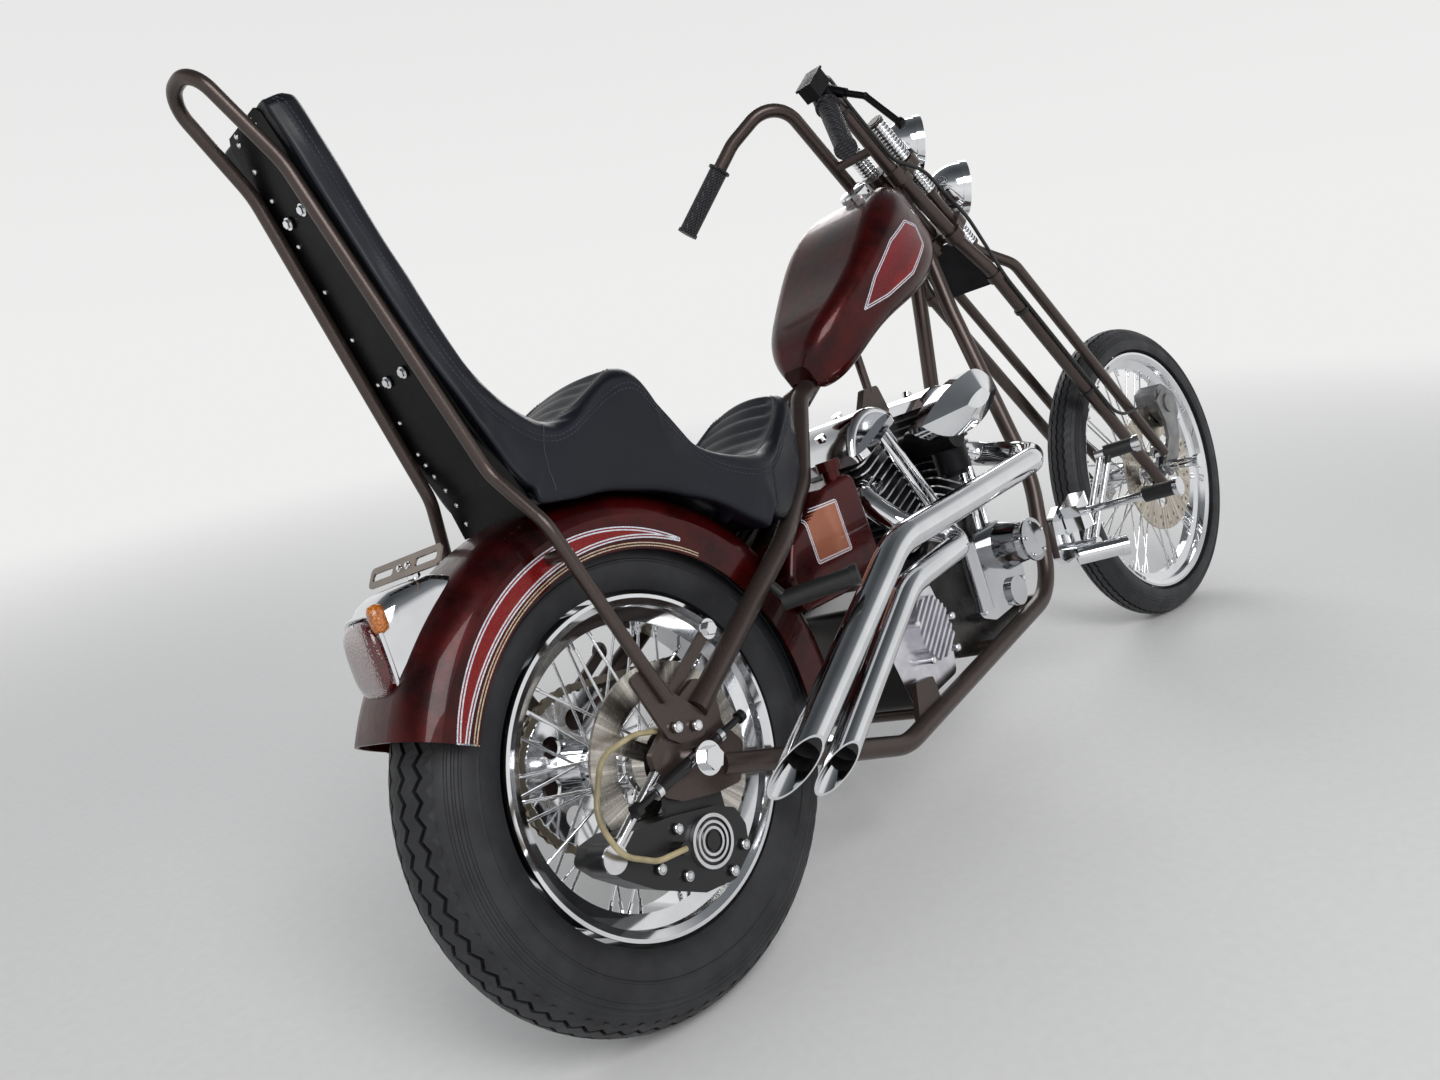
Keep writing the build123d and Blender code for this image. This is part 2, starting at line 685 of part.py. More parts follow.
# Exhausts, from each port to its tip
PIPE_R = 23.0
PIPE_WALL, BORE_DEPTH, SLASH = 2.0, 130.0, 27.0
FRONT_PIPE = [
    (872, -24, 240),
    (962, -42, 204),
    (962, -150, 176),
    (880, -190, 170),
    (430, -200, 146),
    (90, -200, -54),
]
REAR_PIPE = [
    (640, -40, 226),
    (548, -70, 216),
    (560, -126, 150),
    (664, -168, 96),
    (430, -194, 80),
    (164, -196, -88),
]


def slashed(pipe, path, r):
    # The last run is hollow and cut aslant, so that its mouth faces out and back
    tip, before = Vector(*path[-1]), Vector(*path[-2])
    along = (tip - before).normalized()
    out = Vector(0, -1, 0)
    out = (out - along * along.dot(out)).normalized()
    slant = along * sin(radians(SLASH)) + out * cos(radians(SLASH))
    bore = rod(tip - along * BORE_DEPTH, tip + along * 100, r - PIPE_WALL)
    block = Box(300, 300, 200, align=(Align.CENTER, Align.CENTER, Align.MIN))
    return pipe - bore - Plane(origin=tip, z_dir=slant).location * block


def exhaust(path, r, bends, cyls):
    tip, before = Vector(*path[-1]), Vector(*path[-2])
    longer = tip + (tip - before).normalized() * r / sin(radians(SLASH))
    pipe = tube(path[:-1] + [tuple(longer)], r, bends)
    return largest(cut(slashed(pipe, path, r), *cyls))


def front_pipe(cyls):
    return exhaust(FRONT_PIPE, PIPE_R, [40, 50, 60, 130], cyls)


def rear_pipe(cyls):
    return exhaust(REAR_PIPE, PIPE_R - 3, [34, 34, 22, 110], cyls)


# Chain
CHAIN_Y, CHAIN_T, CHAIN_H = SPROCKET_Y, 12.0, 13.0
DRIVE_R = 44.0
DRIVE_X, DRIVE_Z = 505.0, -10.0


def chain_loop(pad):
    rear = SPROCKET_R + 1.2
    length = hypot(DRIVE_X, DRIVE_Z)
    tilt = degrees(atan2(DRIVE_Z, DRIVE_X))
    lift = degrees(asin_ratio((rear - DRIVE_R) / length))
    pts = []
    for side in (1, -1):
        angle = tilt + side * (90 - lift)
        x0, z0 = polar(rear + pad, angle)
        x1, z1 = polar(DRIVE_R + pad, angle)
        pts.append(((x0, z0), (x1 + DRIVE_X, z1 + DRIVE_Z)))
    (a0, a1), (b0, b1) = pts
    back = polar(rear + pad, tilt + 180)
    front = polar(DRIVE_R + pad, tilt)
    front = (front[0] + DRIVE_X, front[1] + DRIVE_Z)
    edges = [Line(a0, a1), ThreePointArc(a1, front, b1), Line(b1, b0), ThreePointArc(b0, back, a0)]
    return make_face(edges)


def asin_ratio(value):
    return atan2(value, sqrt(1 - value**2))


def drive_chain():
    face = chain_loop(CHAIN_H) - chain_loop(0)
    y0 = CHAIN_Y - CHAIN_T / 2
    return extrude(Plane.XZ * face, amount=-CHAIN_T).move(Location((0, y0, 0))).solid()


def drive_sprocket():
    return disc_y(DRIVE_R - SEAT_GAP, 77, CHAIN_Y + 6, DRIVE_X, DRIVE_Z)


# Rear brake, with its places as x and z
CALIPER = [(-160, -36), (-134, -34), (-62, -46), (6, -64), (36, -80), (44, -106), (36, -138), (0, -158)]
CALIPER += [(-50, -150), (-116, -112), (-156, -78), (-176, -52)]
PISTON_AT, PISTON_R = (-20, -98), 33.0
KNUCKLE_AT = (-158, -52)
BANJO_AT = (-72, -82)
HOSE_R = 3.5


def rear_caliper(frame_outside):
    y1 = -PLATE_Y - PLATE_T
    body = plate_xz(CALIPER, y1, -64, 9)
    body = body + disc_y(PISTON_R + 4, y1, -64, *PISTON_AT)
    body = body - disc_y(REAR_DISC_R + 3, REAR_DISC_Y - 5, REAR_DISC_Y + 5)
    body = body - disc_y(REAR_RIM_R, -70, 0)
    # The piston's cover carries turned rings
    cover = disc_y(PISTON_R, y1 - 8, y1 + 1, *PISTON_AT)
    for r in (28.0, 21.0, 14.0):
        cover = cover - (disc_y(r, y1 - 9, y1 - 6, *PISTON_AT) - disc_y(r - 3.5, y1 - 9, y1 - 6, *PISTON_AT))
    # Its bracket lies against the axle plate and takes the axle's spacer
    outline = [(-66, -54), (-34, 16), (24, 26), (34, -30), (26, -110), (-40, -100)]
    bracket = plate_xz(outline, -PLATE_Y, -PLATE_Y + 8, 10) - disc_y(14, -PLATE_Y - 1, -60)
    knuckle = disc_y(17, y1 - 4, -96, *KNUCKLE_AT)
    stay = rod((KNUCKLE_AT[0], y1 + 5, KNUCKLE_AT[1]), (-60, y1 + 5, 8), 6.5)
    banjo = disc_y(8, y1 - 20, y1 + 1, *BANJO_AT)
    bolts = []
    for x, z in ((-104, -92), (-70, -118), (-2, -146), (28, -126), (-62, -62)):
        bolts.append(disc_y(7, y1 - 4, y1 + 1, x, z))
    body = body.fuse(cover, bracket, knuckle, stay, banjo, *bolts)
    return largest(body - frame_outside)


def brake_hose(points, bends, ends, clips):
    hose = tube(points, HOSE_R, bends)
    return largest(cut(hose.fuse(*clips), *ends))


def rear_brake_hose(caliper, *neighbours):
    # From behind the axle plate, round behind the axle and down to the caliper
    y = -PLATE_Y + HOSE_R
    points = [(4, y, 40), (-64, y, 60), (-128, -126, 58), (-172, -142, 4), (-160, -148, -48), (-116, -148, -76)]
    points.append((BANJO_AT[0], -148, BANJO_AT[1]))
    return brake_hose(points, [70, 45, 45, 45, 45], [caliper, *neighbours], [])


# Tail lamp: its side outline, and the seat and direction of its lens
LAMP_SIDE = [(-255, 190), (-288, 196), (-286, 268), (-262, 316), (-196, 322), (-150, 292), (-170, 246)]
LENS_AT, LENS_OUT, LENS_R = (-287, 0, 254), (-1, 0, -0.02), 27.0


def tail_lamp(fender_outside):
    # A rounded housing on the fender, open behind for its lens
    body = plate_xz(LAMP_SIDE, -46, 46, 10)
    rims = [e for e in body.edges() if abs(abs(e.center().Y) - 46) < 0.1]
    body = fillet(rims, 12)
    return largest(body - fender_outside - tail_lens())


def tail_lens():
    glass = turned([[(0, 0), (LENS_R, 0), (LENS_R, 8)], dome(LENS_R, 8, 14), [(0, 22), (0, 0)]])
    return aimed(glass.solid(), LENS_AT, LENS_OUT)


def plate_bracket(lamp):
    bar = Box(30, 176, 3).move(Location((-206, 0, 334)))
    post = Box(16, 30, 30).move(Location((-206, 0, 318.5)))
    slots = []
    for y in (-72, -54, 54, 72):
        slots.append(Box(8, 9, 6).move(Location((-206, y, 334))))
    return largest(cut(bar + post, lamp, *slots))


def passenger_pegs(frame_outside):
    pegs = []
    for side in (1, -1):
        y = side
        arm = rod((236, y * 110, 164), (240, y * 134, 132), 8)
        peg = rod((240, y * 128, 128), (300, y * 214, 132), 14)
        end = rod((297, y * 210, 132), (303, y * 219, 132), 16)
        pegs.append(largest(cut(peg.fuse(arm, end), frame_outside)))
    return pegs


def forward_controls(frame_outside):
    # Columns: start, end, radius
    rods = [
        ((1040, -121, 6), (1098, -121, 30), 11),
        ((1096, -121, 30), (1099, -268, 34), 8),
        ((1099, -266, 34), (1100, -326, 36), 14),
        ((1100, -325, 36), (1100, -334, 36), 17),
        ((1066, -112, -34), (1070, -168, -34), 16),
        ((1030, -140, -40), (1078, -206, -46), 17),
        ((1076, -203, -46), (1084, -214, -47), 19),
        ((1070, -140, -30), (1146, -184, 118), 6),
        ((1070, -158, -30), (1146, -202, 118), 6),
        ((1142, -176, 124), (1176, -250, 124), 8),
        ((1150, -193, 124), (1174, -245, 124), 14),
        ((1173, -244, 124), (1177, -252, 124), 16),
    ]
    outline = [(985, -30), (1010, -46), (1076, -40), (1086, 10), (1040, 62), (1000, 40)]
    parts = [rod(*row) for row in rods]
    parts.append(Box(44, 36, 30).move(Location((1060, -148, 20))))
    reservoir = Box(52, 34, 24).rotate(Axis.Y, -20).move(Location((1058, -150, 52)))
    lid = Box(58, 40, 5).rotate(Axis.Y, -20).move(Location((1053, -150, 66)))
    parts += [reservoir, lid]
    one = plate_xz(outline, -128, -114, 8).fuse(*parts)
    one = largest(cut(one, frame_outside))
    return [one, other_side(one)]


# Fork: x is forward of the steering axis, z is up along it, before it is turned
def fork_location():
    up = (-sin(radians(RAKE)), 0, cos(radians(RAKE)))
    ahead = (cos(radians(RAKE)), 0, sin(radians(RAKE)))
    return Plane(origin=(NECK_X, 0, NECK_Z), x_dir=ahead, z_dir=up).location


# The front axle's place, ahead of the steering axis and down along it
AXLE_RUN, AXLE_FALL = WHEELBASE - NECK_X, NECK_Z - FRONT_AXLE_RISE
AXLE_N = AXLE_RUN * cos(radians(RAKE)) - AXLE_FALL * sin(radians(RAKE))
AXLE_DOWN = -(AXLE_RUN * sin(radians(RAKE)) + AXLE_FALL * cos(radians(RAKE)))
LEG_FOOT = AXLE_DOWN + 14
YOKE_Z = NECK_LENGTH / 2 + 14.5
YOKE_T = 22.0
# Where the legs pass the yokes: place forward, distance from the middle
TOP_LEG, LOW_LEG = (-8.0, 50.5), (-1.0, 58.0)


def yoke(z, rear_leg):
    n, y = rear_leg
    outline = [(n, y + 10), (FRONT_TOP_N, SPRING_Y + 20), (68, 24)]
    outline += [(a, -b) for a, b in reversed(outline)]
    face = make_face(Polyline(*outline, close=True)) + Circle(26)
    for side in (1, -1):
        face = face + Location((n, side * y)) * Circle(19)
        face = face + Location((FRONT_TOP_N, side * SPRING_Y)) * Circle(22)
    return extrude(face, amount=YOKE_T).move(Location((0, 0, z - YOKE_T / 2)))


def steering_yokes(*legs):
    stem = rod((0, 0, -YOKE_Z - 22), (0, 0, YOKE_Z + 20), STEM_R)
    nuts = [rod((0, 0, YOKE_Z + 10), (0, 0, YOKE_Z + 26), 19), rod((0, 0, -YOKE_Z - 24), (0, 0, -YOKE_Z - 10), 17)]
    # One arm runs ahead from each yoke to the back of its lamp
    arms = []
    for z, (n, s) in ((YOKE_Z, LAMPS[0]), (-YOKE_Z, LAMPS[1])):
        back = Vector(n, 0, s) - LAMP_ALONG * LAMP_BACK
        arms.append(rod((60, 10, z), tuple(back + LAMP_ALONG * 6), 9))
    body = yoke(YOKE_Z, TOP_LEG).fuse(yoke(-YOKE_Z, LOW_LEG), stem, *nuts, *arms)
    return largest(cut(body, *legs))


def rear_fork_legs():
    # The legs curve in below the lower yoke and reach the underside of the top one
    path = [
        (REAR_LEG_N, -LEG_Y, LEG_FOOT),
        (-8, -LEG_Y, -175),
        (LOW_LEG[0], -LOW_LEG[1], -YOKE_Z - 16),
        (TOP_LEG[0], -TOP_LEG[1], YOKE_Z - YOKE_T / 2),
    ]
    leg = tube(path, LEG_R, [90, 90])
    collar = rod((-8, -LEG_Y, -206), (-8, -LEG_Y, -190), LEG_R + 3)
    return both(leg.fuse(collar).solid())


# Each spring's low and high end, above, between and below the yokes
FACE = YOKE_T / 2 + SEAT_GAP
SPRING_STACKS = [
    (YOKE_Z + FACE, YOKE_Z + FACE + 90),
    (YOKE_Z - FACE - 60, YOKE_Z - FACE),
    (-YOKE_Z - FACE - 45, -YOKE_Z - FACE),
]


def front_fork_legs():
    path = [
        (FRONT_LEG_N, -LEG_Y, LEG_FOOT + 24),
        (62, -LEG_Y, -232),
        (FRONT_TOP_N, -SPRING_Y, -156),
        (FRONT_TOP_N, -SPRING_Y, SPRING_STACKS[0][1] + 6),
    ]
    leg = tube(path, FRONT_LEG_R, [60, 60])
    parts = []
    for z in (SPRING_STACKS[0][1], SPRING_STACKS[1][0] - 5, SPRING_STACKS[2][0] - 5):
        parts.append(rod((FRONT_TOP_N, -SPRING_Y, z), (FRONT_TOP_N, -SPRING_Y, z + 5), SPRING_R))
    return both(leg.fuse(*parts).solid())


def fork_springs():
    parts = []
    bore = FRONT_LEG_R + SEAT_GAP
    wire_r = SPRING_R - COIL_DEPTH
    for low, high in SPRING_STACKS:
        count = round((high - low) / COIL_PITCH)
        step = (high - low) / count
        lines = [[(wire_r, high), (bore, high)], [(bore, high), (bore, low)], [(bore, low), (wire_r, low)]]
        for i in range(count):
            t = low + i * step
            lines.append([(wire_r, t), (SPRING_R, t + step / 2), (wire_r, t + step)])
        parts += both(turned(lines).move(Location((FRONT_TOP_N, -SPRING_Y, 0))).solid())
    return parts


def fork_brace(*neighbours):
    # A plate between the legs below the lower yoke
    outline = [(-44, -YOKE_Z - 14), (44, -YOKE_Z - 14), (70, -214), (-70, -214)]
    plate = extrude(Plane.YZ * make_face(Polyline(*outline, close=True)), amount=8)
    return largest(cut(plate.move(Location((-7, 0, 0))), *neighbours))


def fork_rockers(*legs):
    outline = [(-16, LEG_FOOT - 14), (-16, LEG_FOOT + 14), (56, LEG_FOOT + 42), (90, LEG_FOOT + 42)]
    outline += [(98, AXLE_DOWN + 6), (80, AXLE_DOWN - 22), (48, AXLE_DOWN - 18)]
    inner = LEG_Y - LEG_R - ROCKER_T - SEAT_GAP
    rocker = plate_xz(outline, -inner - ROCKER_T, -inner, 12)
    rocker = rocker + disc_y(9, -LEG_Y, -inner, REAR_LEG_N, LEG_FOOT)
    rocker = rocker + disc_y(9, -LEG_Y, -inner, FRONT_LEG_N, LEG_FOOT + 24)
    rocker = rocker - disc_y(FRONT_AXLE_R, -200, 200, AXLE_N, AXLE_DOWN)
    return both(largest(cut(rocker, *legs)))


def front_axle():
    inner = LEG_Y - LEG_R - ROCKER_T - SEAT_GAP
    outer = inner + ROCKER_T
    spot = (AXLE_N, AXLE_DOWN)
    axle = disc_y(FRONT_AXLE_R, -146, 118, *spot)
    parts = [disc_y(13, FRONT_HUB_HALF + 1, inner, *spot), disc_y(16, -150, -138, *spot)]
    for side in (1, -1):
        parts.append(disc_y(14, side * outer, side * (outer + 34), *spot))
    parts.append(disc_y(11, -140, -outer - 30, *spot))
    return axle.fuse(*parts).solid()


# The left half of the handlebars: forward, left and up in fork coordinates
BAR_POINTS = [(-14, 50, YOKE_Z), (-16, 48, 349), (-112, 117, 343), (-257, 203, 297)]
GRIP_END, GRIP_START = Vector(*BAR_POINTS[3]), Vector(*BAR_POINTS[2])


def handlebars(yokes):
    left = tube(BAR_POINTS, BAR_R, [62, 90])
    clamp = rod((-14, 50, YOKE_Z), (-14, 50, YOKE_Z + 30), BAR_R + 5)
    brace = rod((-15, -50, 163), (-15, 50, 163), 9)
    bars = left.fuse(clamp, other_side(left), other_side(clamp), brace)
    return largest(cut(bars, yokes))


def handlebar_grips():
    back = (GRIP_START - GRIP_END).normalized()
    near = GRIP_END + back * GRIP_LENGTH
    grip = rod(GRIP_END - back * 6, near, GRIP_R) + rod(near - back * 4, near, GRIP_R + 4)
    grip = grip + rod(GRIP_END - back * 8, GRIP_END - back * 2, GRIP_R + 2)
    return both((grip - rod(GRIP_END - back, GRIP_START, BAR_R)).solid())


FRONT_HOSE = [
    (-116, -138, 350),
    (-50, -97, 338),
    (-14, -66.5, 262),
    (-14, -67, 124),
    (28, -74, 60),
    (24, -90, -70),
    (-6, -97, -210),
    (2, -97, AXLE_DOWN + 250),
    (96, -97, AXLE_DOWN + 178),
    (130, -66, AXLE_DOWN + 118),
]
FRONT_HOSE_BENDS = [40, 60, 60, 70, 200, 200, 90, 24]


def front_brake_hose(lever, caliper, *neighbours):
    # Clipped to the right bar, past the springs and down beside the leg to the caliper
    clips = [ring((-15, -50, 250), (0, 0, 1), BAR_R + 3, BAR_R, 7)]
    for z in (-300, -560, -800):
        n = REAR_LEG_N - 11 * (z - LEG_FOOT) / (-175 - LEG_FOOT)
        clips.append(ring((n, -LEG_Y, z), (0, 0, 1), LEG_R + 3, LEG_R, 7))
    return brake_hose(FRONT_HOSE, FRONT_HOSE_BENDS, [lever, caliper, *neighbours], clips)


def brake_lever():
    # Clamp, fluid reservoir and lever on the right end of the bars
    end, start = Vector(*flip(BAR_POINTS[3])), Vector(*flip(BAR_POINTS[2]))
    back = (start - end).normalized()
    seat_at = end + back * (GRIP_LENGTH + 4)
    clamp = rod(seat_at, seat_at + back * 32, BAR_R + 7)
    top = seat_at + back * 16
    tank = aimed(Box(46, 30, 26), top + Vector(0, 0, 28), (0, 0, 1))
    lid = aimed(Box(50, 34, 4), top + Vector(0, 0, 43), (0, 0, 1))
    pivot = rod(top + Vector(14, -8, 4), (-128, -166, 322), 9)
    blade = [(-126, -160, 326), (-132, -196, 304), (-164, -240, 254)]
    lever = rod(blade[0], blade[1], 5.5).fuse(rod(blade[1], blade[2], 5.5))
    elbow = Sphere(6.2).move(Location(blade[1]))
    knob = rod(blade[2], Vector(*blade[2]) + (Vector(*blade[2]) - Vector(*blade[1])) * 0.2, 8.5)
    body = clamp.fuse(tank, lid, pivot, lever, elbow, fillet(knob.edges(), 4))
    return largest(body - rod(end, start + back * 8, BAR_R))


# Headlamps: the middle of each in fork coordinates, and the way both look
LAMPS = [(115, 82), (144, -63)]
LAMP_ALONG = Vector(0.475, -0.644, -0.592).normalized()
LAMP_R, LAMP_BACK, LAMP_FRONT = 55.0, 44.0, 36.0


def headlamps(yokes):
    recess = LAMP_FRONT - 8
    lines = [
        [(0, -LAMP_BACK), (16, -LAMP_BACK)],
        [(16, -LAMP_BACK), (44, -12), (LAMP_R - 3, 21)],
        [(LAMP_R - 3, 21), (LAMP_R, 21), (LAMP_R, LAMP_FRONT), (LAMP_R - 5, LAMP_FRONT)],
        [(LAMP_R - 5, LAMP_FRONT), (LAMP_R - 5, recess)],
        [(LAMP_R - 5, recess), (0, recess)],
        [(0, recess), (0, -LAMP_BACK)],
    ]
    shell = turned(lines).solid()
    return [largest(cut(aimed(shell, (n, 0, s), LAMP_ALONG), yokes)) for n, s in LAMPS]


def headlamp_lenses():
    recess = LAMP_FRONT - 8
    r = LAMP_R - 5 - SEAT_GAP / 6
    side = [(0, recess), (r, recess)]
    edge = [(r, recess), (r, recess + 5)]
    lens = turned([side, edge, dome(r, recess + 5, 10), [(0, recess + 15), (0, recess)]])
    return [aimed(lens.solid(), (n, 0, s), LAMP_ALONG) for n, s in LAMPS]


# Both as places from the front axle
CALIPER_HALVES = [(102, 24), (92, 96), (118, 132), (158, 116), (176, 62), (150, 20)]
CALIPER_ARM = [(-20, -16), (-18, 18), (8, 26), (58, 36), (84, 66), (100, 118), (142, 112), (156, 50), (96, 2), (24, -24)]


def front_caliper(*legs):
    # The arm rises from the axle, outboard of the rocker, and carries the two halves
    def place(points):
        return [(AXLE_N + a, AXLE_DOWN + b) for a, b in points]

    body = plate_xz(place(CALIPER_HALVES), -76, -26, 12)
    body = body - disc_y(FRONT_DISC_R + 3, FRONT_DISC_Y - 5, FRONT_DISC_Y + 5, AXLE_N, AXLE_DOWN)
    arm = plate_xz(place(CALIPER_ARM), -80, -72, 8)
    pot = disc_y(22, -84, -75, AXLE_N + 132, AXLE_DOWN + 74)
    boss = disc_y(7, -79, -66, AXLE_N + 130, AXLE_DOWN + 116)
    room = disc_y(14, -100, -60, AXLE_N, AXLE_DOWN)
    return largest(cut(body.fuse(arm, pot, boss), room, *legs))


# Placing the bike on the floor
def rotate_vector(v, axis, angle):
    a = axis.normalized()
    t = radians(angle)
    return v * cos(t) + a.cross(v) * sin(t) + a * a.dot(v) * (1 - cos(t))


STEER_AXIS = Vector(-sin(radians(RAKE)), 0, cos(radians(RAKE)))
NECK = Vector(NECK_X, 0, NECK_Z)
X_AXIS, Y_AXIS = Vector(1, 0, 0), Vector(0, 1, 0)


def steered(p):
    return NECK + rotate_vector(Vector(*p) - NECK, STEER_AXIS, STEER)


def drop_of(spin, outer_r, section_r):
    # How far a wheel's lowest point lies below its middle, by its spin axis
    return (outer_r - section_r) * sqrt(1 - spin.Z**2) + section_r


def lean_vector(v, pitch):
    return rotate_vector(rotate_vector(v, X_AXIS, -LEAN), Y_AXIS, pitch)


def standing():
    # The pitch that brings both tyres to the floor, and the rear axle's height there
    front = steered((WHEELBASE, 0, FRONT_AXLE_RISE))
    front_spin = rotate_vector(Y_AXIS, STEER_AXIS, STEER)
    pitch = 0.0
    for _ in range(12):
        rear_drop = drop_of(lean_vector(Y_AXIS, pitch), REAR_TYRE_R, REAR_SECTION_R)
        front_drop = drop_of(lean_vector(front_spin, pitch), FRONT_TYRE_R, FRONT_SECTION_R)
        rise = lean_vector(front, pitch).Z
        pitch += degrees((rise + rear_drop - front_drop) / WHEELBASE)
    return pitch, rear_drop


PITCH, AXLE_HEIGHT = standing()


def to_floor(p):
    v = lean_vector(Vector(*p), PITCH)
    return Vector(v.X, v.Y, v.Z + AXLE_HEIGHT)


def lean(shape):
    shape = shape.rotate(Axis.X, -LEAN)
    shape = shape.rotate(Axis.Y, PITCH)
    return shape.move(Location((0, 0, AXLE_HEIGHT)))


def steer(shape):
    return (fork_location() * shape.rotate(Axis.Z, STEER))


def stand_foot():
    # The point of the floor below the foot's middle, in the bike's own frame
    high, low = to_floor((STAND_FOOT_X, STAND_FOOT_Y, 0)).Z, to_floor((STAND_FOOT_X, STAND_FOOT_Y, -100)).Z
    return Vector(STAND_FOOT_X, STAND_FOOT_Y, -100 * high / (high - low))


def stand_axis():
    # The leg swings back and up in one plane, from the floor to beside the lower rail
    leg = stand_foot() - Vector(*STAND_PIVOT)
    return leg.cross(Vector(*STAND_FOLDED)).normalized()


def side_stand():
    pivot = to_floor(STAND_PIVOT)
    foot = to_floor(tuple(stand_foot()))
    axis = lean_vector(stand_axis(), PITCH)
    leg = rod(tuple(pivot), (foot.X, foot.Y, FOOT_PAD_T - 1), STAND_R - 1)
    knuckle = rod(tuple(pivot - axis * KNUCKLE_HALF), tuple(pivot + axis * KNUCKLE_HALF), KNUCKLE_R)
    bore = rod(tuple(pivot - axis * 30), tuple(pivot + axis * 30), STAND_PIN_R + FIT)
    pad = Cylinder(FOOT_PAD_R, FOOT_PAD_T, align=(Align.CENTER, Align.CENTER, Align.MIN))
    pad = pad.move(Location((foot.X, foot.Y, 0)))
    floor_cut = Box(400, 400, 100).move(Location((foot.X, foot.Y, -50)))
    return (leg + knuckle + pad - floor_cut - bore).solid()


def as_list(shape):
    return list(shape) if isinstance(shape, (list, tuple)) else [shape]


def export(name, shapes):
    solids = [s for shape in shapes for s in shape.solids()]
    whole = solids[0] if len(solids) == 1 else Compound(children=solids)
    export_step(whole, "parts/" + name + ".step")


def main():
    covers = rocker_covers()
    frame_body = frame(covers)
    fender_out = fender_solid(-SEAT_GAP, -30, 200, 120)
    cyls = cylinders()
    case = crankcase(cyls, frame_body)
    gears = gear_cover()
    tank = fuel_tank(frame_body)
    lamp = tail_lamp(fender_out)
    caliper = rear_caliper(frame_body)
    foot = sissy_bar(frame_body)
    legs = rear_fork_legs() + front_fork_legs()
    yokes = steering_yokes(*legs)
    bars = handlebars(yokes)
    lever = brake_lever()
    front_pads = front_caliper(*legs)
    root = {
        "frame": frame_body,
        "rear_axle": rear_axle(),
        "rear_fender": rear_fender(),
        "seat": seat(fender_out, frame_body),
        "sissy_bar": foot,
        "backrest_board": backrest_board(),
        "backrest_pad": backrest_pad(),
        "fuel_tank": tank,
        "fuel_cap": fuel_cap(tank),
        "oil_tank": oil_tank(frame_body, fender_out),
        "crankcase": case,
        "cylinders": cyls,
        "rocker_covers": covers,
        "gear_cover": gears,
        "pushrod_tubes": pushrod_tubes(gears, *covers),
        "carburettor": carburettor(cyls),
        "air_cleaner": air_cleaner(),
        "transmission": transmission(case, frame_body) + drive_sprocket(),
        "primary_case": primary_case(),
        "front_exhaust_pipe": front_pipe(cyls),
        "rear_exhaust_pipe": rear_pipe(cyls),
        "drive_chain": drive_chain(),
        "rear_caliper": caliper,
        "rear_brake_hose": rear_brake_hose(caliper, frame_body, foot),
        "tail_lamp": lamp,
        "tail_lamp_lens": tail_lens(),
        "plate_bracket": plate_bracket(lamp),
        "passenger_pegs": passenger_pegs(frame_body),
        "forward_controls": forward_controls(frame_body),
    }
    fork = {
        "steering_yokes": yokes,
        "rear_fork_legs": legs[:2],
        "front_fork_legs": legs[2:],
        "fork_springs": fork_springs(),
        "fork_brace": fork_brace(yokes, *legs),
        "fork_rockers": fork_rockers(*legs),
        "front_axle": front_axle(),
        "handlebars": bars,
        "handlebar_grips": handlebar_grips(),
        "brake_lever": lever,
        "headlamps": headlamps(yokes),
        "headlamp_lenses": headlamp_lenses(),
        "front_caliper": front_pads,
        "front_brake_hose": front_brake_hose(lever, front_pads, bars, yokes, *legs),
    }
    rear = {
        "rear_tyre": tyre(REAR_TYRE_R, REAR_SECTION_R, REAR_RIM_R, REAR_RIM_HALF),
        "rear_rim_and_spokes": laced_wheel(REAR_RIM_R, REAR_RIM_HALF, REAR_HUB_R, REAR_HUB_HALF, REAR_AXLE_R, 22),
        "rear_disc": rear_disc(),
        "rear_sprocket": sprocket(),
    }
    front = {
        "front_tyre": tyre(FRONT_TYRE_R, FRONT_SECTION_R, FRONT_RIM_R, FRONT_RIM_HALF),
        "front_rim_and_spokes": laced_wheel(
            FRONT_RIM_R, FRONT_RIM_HALF, FRONT_HUB_R, FRONT_HUB_HALF, FRONT_AXLE_R, 26
        ),
        "front_disc": front_disc(),
    }
    placed = {}
    for name, shape in root.items():
        placed[name] = [lean(s) for s in as_list(shape)]
    for name, shape in fork.items():
        placed[name] = [lean(steer(s)) for s in as_list(shape)]
    for name, shape in rear.items():
        placed[name] = [lean(shape)]
    for name, shape in front.items():
        placed[name] = [lean(steer(shape.move(Location((AXLE_N, 0, AXLE_DOWN)))))]
    placed["side_stand_leg"] = [side_stand()]
    # The origin is on the floor below the middle of the whole bike
    box = Compound(children=[s for shapes in placed.values() for s in shapes]).bounding_box()
    middle = box.center()
    shift = Location((-middle.X, -middle.Y, 0))
    for name, shapes in placed.items():
        export(name, [s.moved(shift) for s in shapes])
    print("size", box.size, "lowest", box.min.Z)
    report_joints(Vector(middle.X, middle.Y, 0))


